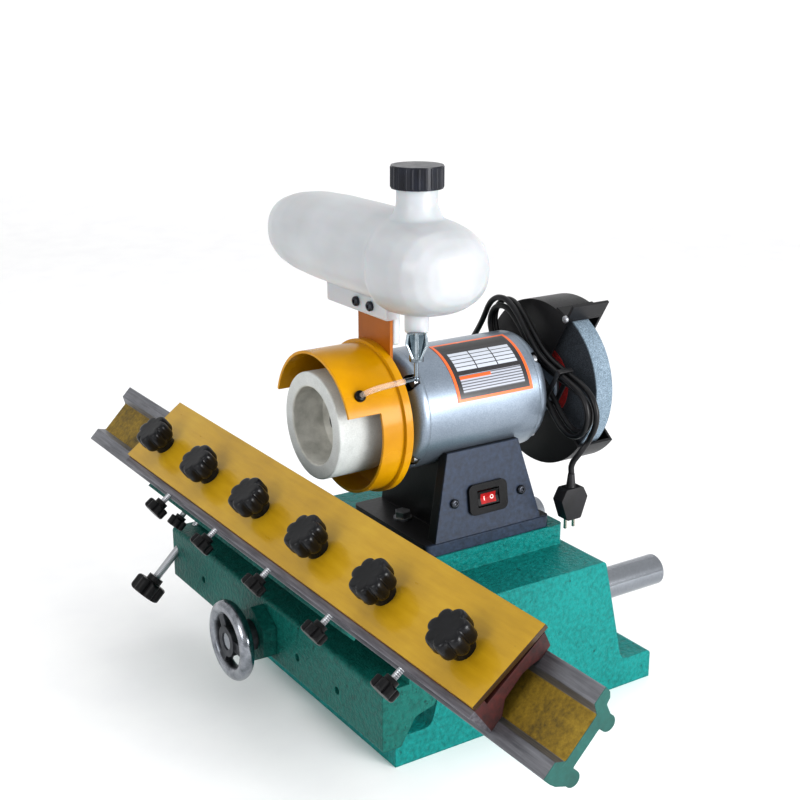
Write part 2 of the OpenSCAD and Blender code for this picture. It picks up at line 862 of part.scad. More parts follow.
module tank_cap() {
    ribs = 24;
    rib_d = 2.6;
    color("#202024")
    translate([tank_x, neck_y, cap_z])
    difference() {
        union() {
            cylinder(h = cap_h, d = cap_d - rib_d / 2);
            for (i = [0:ribs - 1])
                rotate(i * 360 / ribs) translate([cap_d / 2 - rib_d / 2, 0, 1])
                    cylinder(h = cap_h - 2, d = rib_d, $fn = 16);
        }
        translate([0, 0, -eps]) cylinder(h = cap_h - cap_top_t + eps, d = neck_d + 2 * run_fit);
    }
}

module tank_bracket() {
    color("darkorange")
    translate([cup_guard_x, bracket_y, spindle_z + bell_boss_d / 2 + 4])
        cube([bracket_t, bracket_w, bracket_top - spindle_z - bell_boss_d / 2 - 4]);
}

valve_d = 12;
valve_l = 24;
valve_drop = 39;
valve_stem_z = 9;
valve_stem_d = 4;
valve_stem_in = 3;
valve_port_l = 10.5;
valve_turn = -33;
nozzle_d = 4;
barb_l = 10;
wing_t = 2.4;
elbow = [tank_x, neck_y, drain_z - valve_drop];
hood_out = [0, -cos(hood_hole_angle), sin(hood_hole_angle)];
hood_hole = [hood_hole_x, motor_y, spindle_z] + hood_out * cup_guard_d / 2;
hose_turn = 13.5;
hose_in = 4;
hose_corner = hood_hole + hood_out * hose_turn;
hose_dir = unit(hose_corner - elbow);

// Frame of the valve's stem, with +Z out of the valve
module at_valve_stem() {
    translate([tank_x, neck_y, drain_z - valve_stem_z]) rotate([90, 0, valve_turn]) children();
}

// Rod of diameter d from a point along a direction
module rod_along(p, v, l, d) {
    translate(p) rotate([0, acos(v.z), atan2(v.y, v.x)]) cylinder(h = l, d = d);
}

// Plug valve with a bent nozzle for the hose
module drain_valve() {
    collar_t = 5;
    color("lightgray")
    difference() {
        union() {
            translate([tank_x, neck_y, drain_z - collar_t]) cylinder(h = collar_t, d = valve_d + 4);
            translate([tank_x, neck_y, drain_z - valve_l]) cylinder(h = valve_l, d = valve_d);
            translate(elbow) cylinder(h = valve_drop, d = nozzle_d);
            translate(elbow) sphere(d = nozzle_d + 1.5, $fn = 32);
            rod_along(elbow, hose_dir, barb_l, nozzle_d);
            at_valve_stem() cylinder(h = valve_port_l, d = valve_stem_d + 4);
        }
        at_valve_stem() translate([0, 0, valve_stem_in])
            cylinder(h = valve_port_l, d = valve_stem_d + 2 * run_fit);
    }
}

// Fan-shaped wing on the valve's stem
module valve_wing() {
    color("gainsboro")
    at_valve_stem() {
        translate([0, 0, valve_stem_in + gap])
            cylinder(h = valve_port_l + wing_t - valve_stem_in, d = valve_stem_d);
        translate([0, 0, valve_port_l + gap])
            linear_extrude(wing_t)
                polygon(rounded(
                    [[-4, -11], [4, -11], [9.5, 2], [8, 12], [-8, 12], [-9.5, 2]],
                    [2, 2, 3, 3, 3, 3]));
    }
}

hose_top = elbow + hose_dir * barb_l;

// Hose: straight off the nozzle, then one wide bend into the hood's hole
module coolant_hose() {
    leg = hose_turn + hose_in;
    bend = [for (u = [0:0.1:1.001])
        hose_corner - hose_dir * leg * (1 - u) * (1 - u) - hood_out * leg * u * u];
    path = concat([hose_top, hose_top + (bend[0] - hose_top) / 2], bend);
    color("azure") skin(tube_rings(path, hose_d / 2, 8, [0.2, 0.3, 1]));
}

// Power cord: gland at the back of the stand, lead, tied hank, tail and plug

gland_x = motor_x + 22;
gland_z = pad_top + 40;
gland_d = 12;
gland_l = 26;
gland_collar_y = 1.5;
gland_collar_t = 4;
gland_y = motor_y + stand_bottom_l / 2 - stand_lean * (gland_z - pad_top);

// Collared gland with a tapered relief
module cord_gland() {
    color("#1a1a1c") {
        rod_y(gland_y - stand_wall - 2, gland_y + gland_collar_y, gland_d, gland_x, gland_z);
        rod_y(gland_y + gland_collar_y, gland_y + gland_collar_y + gland_collar_t,
            gland_d + 5, gland_x, gland_z);
        translate([gland_x, gland_y + gland_collar_y + gland_collar_t, gland_z]) rotate([-90, 0, 0])
            cylinder(h = gland_l - gland_collar_t, d1 = gland_d, d2 = cord_d + 2.5);
    }
}

// The hank lies across the spindle, in the gap between the motor and the wheel guard
hank_x = bell_x1 + 12;
hank_angle = 30;
hank_dir = [0, -cos(hank_angle), -sin(hank_angle)];
hank_side = [0, sin(hank_angle), -cos(hank_angle)];
hank_waist = 6;
hank_step = cord_d + 2.4;
hank_run = 60;
hank_turns = 2.5;
hank_drift = 1.1;
hank_rest = bell_neck_d / 2 + gap + cord_d / 2 + hank_step / 2 + hank_waist + hank_drift;
hank_mid = [hank_x, motor_y, spindle_z] - hank_side * hank_rest + hank_dir * 7;
fold_steps = 7;
run_steps = 5;
turn_steps = 2 * (fold_steps + run_steps);

// Outward offset and layer of the hank at turn t: inwards for half the turns, up a layer, and out again
function hank_offset(t) = abs(hank_turns / 2 - t) * hank_step;
function hank_layer(t) =
    let (u = min(max((t - hank_turns / 2) / 0.5 + 0.5, 0), 1))
    (u * u * (3 - 2 * u) - 0.5) * hank_step;

// Half width of the hank's run at place u from -1 to 1 along it, for a strand with offset o
function hank_half(u, o) =
    let (s = u * u * (3 - 2 * abs(u)))
    o + hank_waist + (hank_fold_r - hank_waist) * s;

// Place along and across the hank at step k of a turn: fold, run, fold, run
function hank_flat(k, o) =
    let (
        half_turn = fold_steps + run_steps,
        back = k >= half_turn ? -1 : 1,
        m = k >= half_turn ? k - half_turn : k,
        a = 180 * m / fold_steps,
        u = -1 + 2 * (m - fold_steps) / run_steps
    )
    back * (m < fold_steps
        ? [-hank_run - (hank_fold_r + o) * sin(a), (hank_fold_r + o) * cos(a)]
        : [hank_run * u, -hank_half(u, o)]);

// Point of the hank after k steps, from the middle of the upper fold
function hank_point(k) =
    let (t = k / turn_steps, p = hank_flat((k + fold_steps / 2) % turn_steps, hank_offset(t)))
    hank_mid + hank_dir * p.x + hank_side * p.y + [hank_layer(t), 0, 0];

hank_core = [for (k = [0:hank_turns * turn_steps]) hank_point(k)];
hank_last = len(hank_core) - 1;
hank_start = hank_core[0] + hank_side * cord_d;
hank_end = hank_core[hank_last] + hank_side * cord_d;
hank_path = concat([hank_start], hank_core, [hank_end]);

// Least gap between strands of the hank that aren't neighbours along it
hank_gap = min([for (i = [0:hank_last - 8], j = [i + 8:hank_last])
    norm(hank_core[i] - hank_core[j])]) - cord_d;
echo(hank_gap = hank_gap);

module cord_hank() {
    color("#161618") skin(tube_rings(hank_path, cord_d / 2, 6, [1, 0, 0]));
}

gland_tip = [gland_x, gland_y + gland_collar_y + gland_l, gland_z];
lead_route = [
    gland_tip,
    gland_tip + [0, 10, 0],
    [19, 84, 199],
    [34, 98, 212],
    [54, 98, 240],
    [68, 84, 268],
    [75, 68, 294],
    hank_start + hank_side * 14,
    hank_start + hank_side * gap];

module cord_lead() {
    color("#161618") skin(tube_rings(smooth(lead_route, 3), cord_d / 2, 8, [1, 0.3, -0.4]));
}

plug_x = hank_x - 5;
plug_y = motor_y - pad_l / 2 - 14;
plug_top = pad_top + 39;
plug_h = 38;
plug_t = 16;
relief_l = 16;
pin_l = 12;
tail_end = [plug_x, plug_y, plug_top + relief_l + 2 * gap];
tail_route = [
    hank_end + hank_side * gap,
    hank_end + hank_side * 8,
    [76, -105, 232],
    tail_end + [0, 0, 7],
    tail_end];

module cord_tail() {
    color("#161618") skin(tube_rings(smooth(tail_route, 3), cord_d / 2, 8, [1, 0, 0]));
}

// Tie round all strands, beyond the spindle's neck
tie_place = 30;
tie_t = 1.2;
tie_w = 5;

module cord_tie() {
    u = tie_place / hank_run;
    near_t = (run_steps * (1 + u) / 2 + fold_steps / 2) / turn_steps;
    far_t = (fold_steps * 1.5 + run_steps * (3 - u) / 2) / turn_steps;
    low = hank_half(u, max(hank_offset(far_t), hank_offset(far_t + 1))) + cord_d / 2 + gap;
    high = hank_half(u, max(hank_offset(near_t), hank_offset(near_t + 2))) + cord_d / 2 + gap;
    deep = hank_step / 2 + cord_d / 2 + gap;
    color("#0e0e10")
    translate(hank_mid) rotate([hank_angle, 0, 0])
    along_y(-tie_place - tie_w / 2, -tie_place + tie_w / 2)
        difference() {
            translate([-deep - tie_t, -low - tie_t]) square([2 * (deep + tie_t), low + high + 2 * tie_t]);
            translate([-deep, -low]) square([2 * deep, low + high]);
        }
}

module power_plug() {
    color("#141416")
    translate([plug_x, plug_y, plug_top]) {
        translate([0, 0, -plug_h / 2]) along_y(-plug_t / 2, plug_t / 2)
            polygon(rounded(
                [[-10, -19], [10, -19], [19, 6], [12, 19], [-12, 19], [-19, 6]],
                [3, 3, 3, 3, 3, 3]));
        cylinder(h = relief_l, d1 = 11, d2 = cord_d + 2);
        for (x = [-6, 6]) translate([x, 0, -plug_h - pin_l]) cylinder(h = pin_l + 1, d = 4);
    }
}

// Cross-feed beam with its tilt lugs, guide bars and feed screw

beam_x1 = -beam_back;
beam_x0 = beam_x1 - beam_t;
beam_z0 = bar_z - 22;
beam_z1 = beam_z0 + beam_h;
lug_t = 14;
tilt_x = beam_x1 - 12;
tilt_z = beam_z1 + 14;
hub_d = 27;
bar_seat = 12;
bar_x1 = body_half(bar_z) + bar_out;
bar_tip = 2;
set_hole_d = 7;
set_hole_end = 56;
set_hole_mid = 60;

module beam_section() {
    polygon(rounded(
        [[beam_x0, beam_z0], [beam_x0 + 17, beam_z0], [beam_x0 + 31, beam_z0 + 23],
         [beam_x1, beam_z0 + 28], [beam_x1, beam_z1], [beam_x0, beam_z1]],
        [2, 4, 8, 4, 3, 4]));
}

module cross_beam() {
    color("seagreen")
    difference() {
        union() {
            along_y(-beam_l / 2, beam_l / 2) beam_section();
            for (y = [-1, 1])
                rod_x(beam_x0 + 4, beam_x1, bar_d + 14, y * bar_pitch / 2, bar_z);
            rod_x(beam_x0 + 4, beam_x1, bar_d + 10, 0, bar_z);
            for (y = [-beam_l / 2 - lug_t, beam_l / 2])
                along_y(y, y + lug_t) {
                    beam_section();
                    polygon([[tilt_x - hub_d / 2, beam_z1 - 4], [beam_x1, beam_z1 - 4],
                        [tilt_x + hub_d / 2 - 1, tilt_z], [tilt_x - hub_d / 2, tilt_z]]);
                    translate([tilt_x, tilt_z]) circle(d = hub_d);
                }
        }
        for (y = [-1, 1])
            rod_x(beam_x0 + bar_seat, beam_x1 + eps, bar_d, y * bar_pitch / 2, bar_z);
        rod_x(beam_x0 - eps, beam_x1 + eps, screw_d + 2 * run_fit, 0, bar_z);
        rod_y(-beam_l, beam_l, tilt_shaft_d + 2 * run_fit, tilt_x, tilt_z);
        at_tilt_lock() cylinder(h = lock_reach, d = lock_d + 2 * run_fit);
        for (y = [set_hole_end - beam_l / 2, -set_hole_mid, beam_l / 2 - set_hole_end])
            rod_x(beam_x0 - eps, beam_x0 + 10, set_hole_d, y, bar_z);
    }
}

module guide_bars() {
    color("lightgray")
    for (y = [-1, 1])
        translate([0, y * bar_pitch / 2, bar_z]) {
            rod_x(beam_x0 + bar_seat, bar_x1 - bar_tip, bar_d);
            translate([bar_x1 - bar_tip, 0, 0]) rotate([0, 90, 0])
                cylinder(h = bar_tip, d1 = bar_d, d2 = bar_d - 2 * bar_tip);
        }
}

boss_l = 13;
boss_across = 46;
collar_l = 8;
screw_x1 = nut_len - nut_face + feed_out + 5;
handwheel_hub_l = 26;
handwheel_hub_d = 28;
handwheel_x = beam_x0 - boss_l - gap - handwheel_hub_l;

module screw_boss() {
    color("seagreen")
    translate([beam_x0 - boss_l, 0, bar_z]) rotate([0, 90, 0])
    difference() {
        cylinder(h = boss_l, d = boss_across / cos(30), $fn = 6);
        translate([0, 0, -eps]) cylinder(h = boss_l + 2 * eps, d = screw_d + 2 * run_fit);
    }
}

// Feed screw with the collar that carries the beam's thrust
module feed_screw() {
    color("silver")
    translate([0, 0, bar_z]) {
        rod_x(handwheel_x + 2, screw_x1, screw_d);
        rod_x(beam_x1 + gap, beam_x1 + gap + collar_l, screw_d + 12);
    }
}

// Round-rimmed handwheel with three spokes and a long hub
module handwheel() {
    r = handwheel_d / 2;
    rim = 13;
    spoke_w = 10;
    spoke_t = 8;
    color("gainsboro")
    translate([handwheel_x, 0, bar_z]) rotate([0, 90, 0])
    difference() {
        union() {
            rotate_extrude($fn = 96) translate([r - rim / 2, rim / 2]) circle(d = rim, $fn = 32);
            translate([0, 0, 1]) cylinder(h = handwheel_hub_l - 1, d = handwheel_hub_d);
            for (a = [30, 150, 270])
                rotate(a) translate([screw_d / 2 + 2, -spoke_w / 2, rim / 2 - spoke_t / 2])
                    cube([r - rim / 2 - screw_d / 2 - 4, spoke_w, spoke_t]);
        }
        translate([0, 0, -eps]) cylinder(h = handwheel_hub_l + 2 * eps, d = screw_d);
    }
}

// Tilting swivel: a grooved saddle on a web, hinged on the tilt shaft between the lugs

table_x = tilt_x - table_front;
table_z = tilt_z + table_rise;
rib_near = [10.5, -channel_d - web_t - 5.2];
rib_far = [table_w - 16.5, -channel_d - web_t - 3.7];
saddle_top = -channel_d - web_t - 1;
saddle_t = 17;
saddle_w = table_w - 3;
saddle_lip = 3;
swivel_l = beam_l - 2 * gap;
swivel_rib_t = 12;
swivel_rib_in = 21.4;

// Frame of the table: +X across its width from the lower edge, +Z out of its face
module at_table() {
    translate([table_x, 0, table_z]) rotate([0, -tilt, 0]) children();
}

// Point of the table's frame in X and Z
function table_point(s, n) =
    [table_x + s * cos(tilt) - n * sin(tilt), table_z + s * sin(tilt) + n * cos(tilt)];

module swivel() {
    groove = rib_d / 2 + gap;
    low = table_point(2, saddle_top - saddle_t + 3);
    high = table_point(saddle_w - 14, saddle_top - saddle_t + 3);
    color("seagreen")
    difference() {
        union() {
            at_table() along_y(-swivel_l / 2, swivel_l / 2)
                difference() {
                    translate([-saddle_lip, saddle_top - saddle_t]) square([saddle_w, saddle_t]);
                    translate(rib_near) circle(groove);
                    translate(rib_far) circle(groove);
                    polygon([[1.6, saddle_top + eps], [rib_near.x + groove, saddle_top + eps],
                        [rib_near.x + groove, rib_near.y], [rib_near.x - groove, rib_near.y]]);
                    translate([rib_far.x - groove, rib_far.y])
                        square([2 * groove + 1, saddle_top - rib_far.y + eps]);
                }
            along_y(-swivel_l / 2, swivel_l / 2) {
                translate([tilt_x, tilt_z]) circle(d = hub_d);
                polygon([low, low + [9, 9], [tilt_x, tilt_z + hub_d / 2], [tilt_x - hub_d / 2, tilt_z]]);
            }
            for (i = [-1.5:1:1.5], y = i * (swivel_l - swivel_rib_in) / 3)
                along_y(y - swivel_rib_t / 2, y + swivel_rib_t / 2)
                    polygon([low, high, [tilt_x + hub_d / 2 - 1, tilt_z + 2], [tilt_x - hub_d / 2, tilt_z]]);
        }
        rod_y(-beam_l, beam_l, tilt_shaft_d, tilt_x, tilt_z);
        at_table_lock() cylinder(h = table_lock_out + rib_near.x, d = adjuster_d + 2 * run_fit);
    }
}

module tilt_shaft() {
    color("lightgray")
    rod_y(-beam_l / 2 - lug_t - 2, beam_l / 2 + lug_t + 2, tilt_shaft_d, tilt_x, tilt_z);
}

lock_d = 8;
lock_angle = 45;
lock_reach = 108;
lock_knob_h = 16;
lock_hub_h = 6;
table_lock_y = 106;
table_lock_out = 19;
table_lock_h = 9;
table_lock_hub_h = 3;
table_lock_d = 18;
table_lock_hub_d = 10;
table_lock_gap = 1;
lock_hub_d = 16;

// Frame of the tilt lock screw, pointing at the tilt shaft
module at_tilt_lock() {
    translate([tilt_x, beam_l / 2 + lug_t / 2, tilt_z]) rotate([0, -lock_angle, 0])
        translate([-lock_reach, 0, 0]) rotate([0, 90, 0]) children();
}

// Frame of the table lock screw, pointing across the saddle's lower lip at the slide rib
module at_table_lock() {
    at_table() translate([-table_lock_out, table_lock_y, rib_near.y]) rotate([0, 90, 0]) children();
}

// Star knob with its flat face down at z 0 and its hub at height h
module star_knob(d, h, lobes, hub_d, hub_h) {
    lobe = d * 0.17;
    intersection() {
        linear_extrude(h) {
            circle(d / 2 - lobe * 0.8);
            for (i = [0:lobes - 1])
                rotate(i * 360 / lobes) translate([d / 2 - lobe, 0]) circle(lobe, $fn = 32);
        }
        rotate_extrude()
            polygon(rounded([[0, 0], [d / 2, 0], [d / 2, h], [0, h]], [0, h * 0.25, h * 0.2, 0]));
    }
    translate([0, 0, h]) cylinder(h = hub_h, d = hub_d);
}

module tilt_lock() {
    head = lock_knob_h + lock_hub_h;
    color("#18181a")
    at_tilt_lock() {
        star_knob(knob_d, lock_knob_h, 7, lock_hub_d, lock_hub_h);
        translate([0, 0, head]) cylinder(h = lock_reach - head - tilt_shaft_d / 2 - gap, d = lock_d);
    }
}

module table_lock() {
    head = table_lock_h + table_lock_hub_h;
    color("#18181a")
    at_table_lock() {
        star_knob(table_lock_d, table_lock_h, 6, table_lock_hub_d, table_lock_hub_h);
        translate([0, 0, head])
            cylinder(h = table_lock_out + rib_near.x - rib_d / 2 - table_lock_gap - head, d = adjuster_d);
    }
}

// Knife table: a channel casting on two round slide ribs

module table_section() {
    floor_z = -channel_d;
    web_z = -channel_d - web_t;
    neck = rib_d / 2 - 0.6;
    polygon(rounded(
        [[0, 0], [rail_w, 0], [rail_w + 4.4, floor_z], [table_w - rail_w - 4.4, floor_z],
         [table_w - rail_w, 0], [table_w, 0], [table_w - 0.6, -5.5], [table_w - 3.5, -8.6],
         [table_w - 8, -9.5], [rib_far.x + neck, rib_far.y + 2],
         [rib_far.x - neck, rib_far.y], [rib_far.x - neck, web_z],
         [rib_near.x + neck, web_z], [rib_near.x + neck, rib_near.y],
         [rib_near.x - neck, rib_near.y], [0.8, -12.5], [0, -7]],
        [0.6, 0.6, 2, 2, 0.6, 0.6, 1, 2, 2, 0, 0, 2, 2, 0, 0, 3, 3]));
}

module knife_table() {
    y0 = table_y - table_l / 2;
    y1 = table_y + table_l / 2;
    color("olivedrab")
    difference() {
        at_table() union() {
            along_y(y0, y1) table_section();
            for (rib = [rib_near, rib_far]) rod_y(y0, y1, rib_d, rib.x, rib.y);
        }
        for (i = [0:knob_n - 1])
            at_stud(i) translate([0, 0, -40]) cylinder(h = 60, d = stud_d);
    }
}

// Clamp frame: sloped on the table, +X across the clamp from its lower foot, +Z out of the plate
knob_n = 6;
clamp_s = 3;
plate_p = 2.5;
stud_p = 30;
stud_in = 8;
stud_play = 1;
knob_h = 18;
knob_hub_h = 7;
knob_cap_t = 4;
slot_d = 4;
adjuster_out = 25;
adjuster_in = 15;
adjuster_q = 18.5;
adjuster_shift = -8;
adjuster_knob_h = 9;
adjuster_hub_h = 4;

module at_clamp() {
    at_table() translate([clamp_s, 0, 0]) rotate([0, clamp_slope, 0]) children();
}

// Point of the clamp's frame in the table's frame
function clamp_point(p, q) =
    [clamp_s + p * cos(clamp_slope) + q * sin(clamp_slope), q * cos(clamp_slope) - p * sin(clamp_slope)];

function knob_y(i) = clamp_y + (i - (knob_n - 1) / 2) * knob_pitch;
function adjuster_y(i) = clamp_y + (i - (knob_n - 2) / 2) * knob_pitch + adjuster_shift;

module at_stud(i) {
    at_clamp() translate([stud_p, knob_y(i), 0]) children();
}

module clamp_studs() {
    stud_top = plate_q + knob_h + knob_hub_h - knob_cap_t - eps;
    color("silver")
    for (i = [0:knob_n - 1])
        at_stud(i) translate([0, 0, -stud_in]) cylinder(h = stud_top + stud_in, d = stud_d);
}

// Bed between the table and the plate: a land at its lower side and the sloping knife slot
module knife_bed() {
    top = plate_q - plate_t;
    color("#7a2a2a")
    difference() {
        at_table() along_y(clamp_y - clamp_l / 2, clamp_y + clamp_l / 2)
            polygon(rounded(
                [[3.2, 0], [16.5, 0], [26, 6.5], [45, 6.5], [52, 4.5], [table_w - 6, 0],
                 [table_w + 3.5, 0], clamp_point(plate_w - 1, top - gap), clamp_point(11, top - slot_d),
                 clamp_point(11, top), clamp_point(-4, top)],
                [0.6, 2, 3, 6, 6, 2, 0.8, 0, 0, 0, 2]));
        for (i = [0:knob_n - 1])
            at_stud(i) translate([0, 0, -20]) cylinder(h = 60, d = stud_d + 2 * stud_play);
        for (i = [0:knob_n - 2])
            at_adjuster(i) cylinder(h = adjuster_out + adjuster_in + 3, d = adjuster_d + 2 * run_fit);
    }
}

module clamp_plate() {
    color("goldenrod")
    difference() {
        at_clamp() translate([plate_p, clamp_y - clamp_l / 2, plate_q - plate_t])
            cube([plate_w, clamp_l, plate_t]);
        for (i = [0:knob_n - 1])
            at_stud(i) translate([0, 0, -20]) cylinder(h = 80, d = stud_d + 2 * stud_play);
    }
}

module clamp_star_knob(i) {
    color("#141418")
    at_stud(i) translate([0, 0, plate_q + knob_hub_h + knob_h])
    difference() {
        rotate([180, 0, 0]) star_knob(knob_d, knob_h, 7, 19, knob_hub_h);
        translate([0, 0, -knob_h - knob_hub_h - eps])
            cylinder(h = knob_h + knob_hub_h - knob_cap_t + eps, d = stud_d + 2 * run_fit);
    }
}

module star_knob_1() { clamp_star_knob(0); }
module star_knob_2() { clamp_star_knob(1); }
module star_knob_3() { clamp_star_knob(2); }
module star_knob_4() { clamp_star_knob(3); }
module star_knob_5() { clamp_star_knob(4); }
module star_knob_6() { clamp_star_knob(5); }

// Frame of a knife adjuster, pointing across the bed from its lower side
module at_adjuster(i) {
    at_clamp() translate([-adjuster_out, adjuster_y(i), adjuster_q]) rotate([0, 90, 0]) children();
}

module adjuster(i) {
    head = adjuster_knob_h + adjuster_hub_h;
    color("#18181c")
    at_adjuster(i) {
        star_knob(adjuster_knob_d, adjuster_knob_h, 7, 11, adjuster_hub_h);
        translate([0, 0, head]) cylinder(h = adjuster_out + adjuster_in - head, d = adjuster_d);
    }
}

module adjuster_1() { adjuster(0); }
module adjuster_2() { adjuster(1); }
module adjuster_3() { adjuster(2); }
module adjuster_4() { adjuster(3); }
module adjuster_5() { adjuster(4); }

base_casting();
bar_bushes();
feed_nut();
motor_stand();
stand_bolts();
switch_bezel();
switch_rocker();
motor_barrel();
end_bell_left();
end_bell_right();
stator();
motor_bearings();
tie_bolts();
cup_guard();
tank_bracket();
water_tank();
tank_cap();
drain_valve();
valve_wing();
coolant_hose();
wheel_guard();
guard_cover();
spark_arrester();
cord_gland();
cord_lead();
cord_hank();
cord_tail();
cord_tie();
power_plug();
spindle_shaft();
rotor_core();
cup_wheel();
grinding_wheel();
wheel_flanges();
wheel_blotters();
spindle_nuts();
cross_beam();
guide_bars();
screw_boss();
feed_screw();
handwheel();
swivel();
tilt_shaft();
tilt_lock();
table_lock();
knife_table();
clamp_studs();
knife_bed();
clamp_plate();
star_knob_1();
star_knob_2();
star_knob_3();
star_knob_4();
star_knob_5();
star_knob_6();
adjuster_1();
adjuster_2();
adjuster_3();
adjuster_4();
adjuster_5();
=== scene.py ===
"""Looks of the planer knife grinder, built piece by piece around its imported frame."""
import math

import bmesh
import bpy
from mathutils import Matrix, Vector


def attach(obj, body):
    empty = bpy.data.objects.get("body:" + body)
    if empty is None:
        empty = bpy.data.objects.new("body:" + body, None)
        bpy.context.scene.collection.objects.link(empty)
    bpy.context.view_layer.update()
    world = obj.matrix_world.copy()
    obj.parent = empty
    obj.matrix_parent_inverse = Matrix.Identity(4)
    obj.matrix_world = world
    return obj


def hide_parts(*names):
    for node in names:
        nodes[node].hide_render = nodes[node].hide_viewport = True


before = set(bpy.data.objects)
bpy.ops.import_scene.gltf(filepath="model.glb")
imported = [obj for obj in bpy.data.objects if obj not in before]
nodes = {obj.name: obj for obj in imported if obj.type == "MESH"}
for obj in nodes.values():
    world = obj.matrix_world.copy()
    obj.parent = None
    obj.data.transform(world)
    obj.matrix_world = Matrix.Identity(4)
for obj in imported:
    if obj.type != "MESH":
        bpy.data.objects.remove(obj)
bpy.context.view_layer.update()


# Camera: a short telephoto lens, two thirds of a metre above the bench and a metre and a quarter from
# the motor, turned so that the table's front, the motor's label and the base's near side show
camera_turn, camera_tilt = math.radians(-33.1), math.radians(90 - 17.4)
lens = bpy.data.cameras.new("camera")
lens.sensor_width = 36
lens.lens = 60.435
camera = bpy.data.objects.new("camera", lens)
camera.location = (-0.686, -0.9748, 0.640)
camera.rotation_euler = (camera_tilt, 0, camera_turn)
bpy.context.scene.collection.objects.link(camera)
bpy.context.scene.camera = camera


# Power cord: a black rubber lead of two cores and earth, out of the gland at the back of the stand,
# folded into a hank on the spindle's neck between the motor and the wheel guard, with its tail
# hanging to the plug; a plastic tie holds the strands together below the neck
cord_d, strand_gap = 0.0055, 0.0024
spindle = Vector((0, -0.020, 0.275))
bell_neck_r, neck_gap = 0.015, 0.0003
hank_x, hank_tilt, hank_drop, hank_drift = 0.077, math.radians(30), 0.007, 0.0011
hank_waist, hank_run, hank_fold, hank_turns = 0.006, 0.060, 0.0165, 2.5
hank_dir = Vector((0, -math.cos(hank_tilt), -math.sin(hank_tilt)))
hank_side = Vector((0, math.sin(hank_tilt), -math.cos(hank_tilt)))
hank_step = cord_d + strand_gap
hank_rest = bell_neck_r + neck_gap + cord_d / 2 + hank_step / 2 + hank_waist + hank_drift
hank_mid = Vector((hank_x, spindle.y, spindle.z)) - hank_side * hank_rest + hank_dir * hank_drop
fold_steps, run_steps = 7, 5
half_steps = fold_steps + run_steps
hank_points = int(hank_turns * 2 * half_steps) + 1


def hank_point(k):
    """Point k of the cord's middle line, round the folds and along the runs, which draw in at the waist."""
    turn = k / (2 * half_steps)
    offset = abs(hank_turns / 2 - turn) * hank_step
    u = min(max((turn - hank_turns / 2) / 0.5 + 0.5, 0), 1)
    layer = (u * u * (3 - 2 * u) - 0.5) * hank_step
    m = (k + fold_steps / 2) % (2 * half_steps)
    back = -1 if m >= half_steps else 1
    m = m % half_steps
    if m < fold_steps:
        angle = math.pi * m / fold_steps
        along = -hank_run - (hank_fold + offset) * math.sin(angle)
        across = (hank_fold + offset) * math.cos(angle)
    else:
        u = -1 + 2 * (m - fold_steps) / run_steps
        along = hank_run * u
        across = -(offset + hank_waist + (hank_fold - hank_waist) * u * u * (3 - 2 * abs(u)))
    return hank_mid + back * (hank_dir * along + hank_side * across) + Vector((layer, 0, 0))


pad_top, stand_half, stand_slope = 0.155, 0.062, 0.013 / 0.088
gland_x, gland_rise, gland_out = 0.015, 0.040, 0.0275
gland_tip = Vector((gland_x, spindle.y + stand_half - stand_slope * gland_rise + gland_out,
                    pad_top + gland_rise))
hank_core = [hank_point(k) for k in range(hank_points)]
hank_start = hank_core[0] + hank_side * cord_d
hank_end = hank_core[-1] + hank_side * cord_d
plug_entry = Vector((0.072, -0.098, 0.2106))
lead_route = [
    gland_tip - Vector((0, 0.004, 0)), gland_tip, gland_tip + Vector((0, 0.010, 0)), (0.019, 0.084, 0.199),
    (0.034, 0.098, 0.212), (0.054, 0.098, 0.240), (0.068, 0.084, 0.268), (0.075, 0.068, 0.294),
    hank_start + hank_side * 0.014, hank_start]
tail_route = [
    hank_end, hank_end + hank_side * 0.008, (0.076, -0.105, 0.232), plug_entry + Vector((0, 0, 0.007)),
    plug_entry]
cord_route = [Vector(p) for p in lead_route + hank_core + tail_route]


def laid_tube(name, route, diameter):
    curve = bpy.data.curves.new(name, "CURVE")
    curve.dimensions = "3D"
    curve.resolution_u = 6
    curve.bevel_depth = diameter / 2
    curve.bevel_resolution = 4
    curve.use_fill_caps = True
    spline = curve.splines.new("BEZIER")
    spline.bezier_points.add(len(route) - 1)
    for point, place in zip(spline.bezier_points, route):
        point.co = place
        point.handle_left_type = point.handle_right_type = "AUTO"
    tube = bpy.data.objects.new(name, curve)
    bpy.context.scene.collection.objects.link(tube)
    return tube


def laid_length(tube, steps=24):
    bpy.context.view_layer.update()
    points = []
    knots = tube.data.splines[0].bezier_points
    for a, b in zip(knots[:-1], knots[1:]):
        for i in range(steps):
            t = i / steps
            points.append(a.co * (1 - t) ** 3 + a.handle_right * 3 * t * (1 - t) ** 2
                          + b.handle_left * 3 * t * t * (1 - t) + b.co * t ** 3)
    points.append(knots[-1].co)
    return sum((b - a).length for a, b in zip(points[:-1], points[1:]))


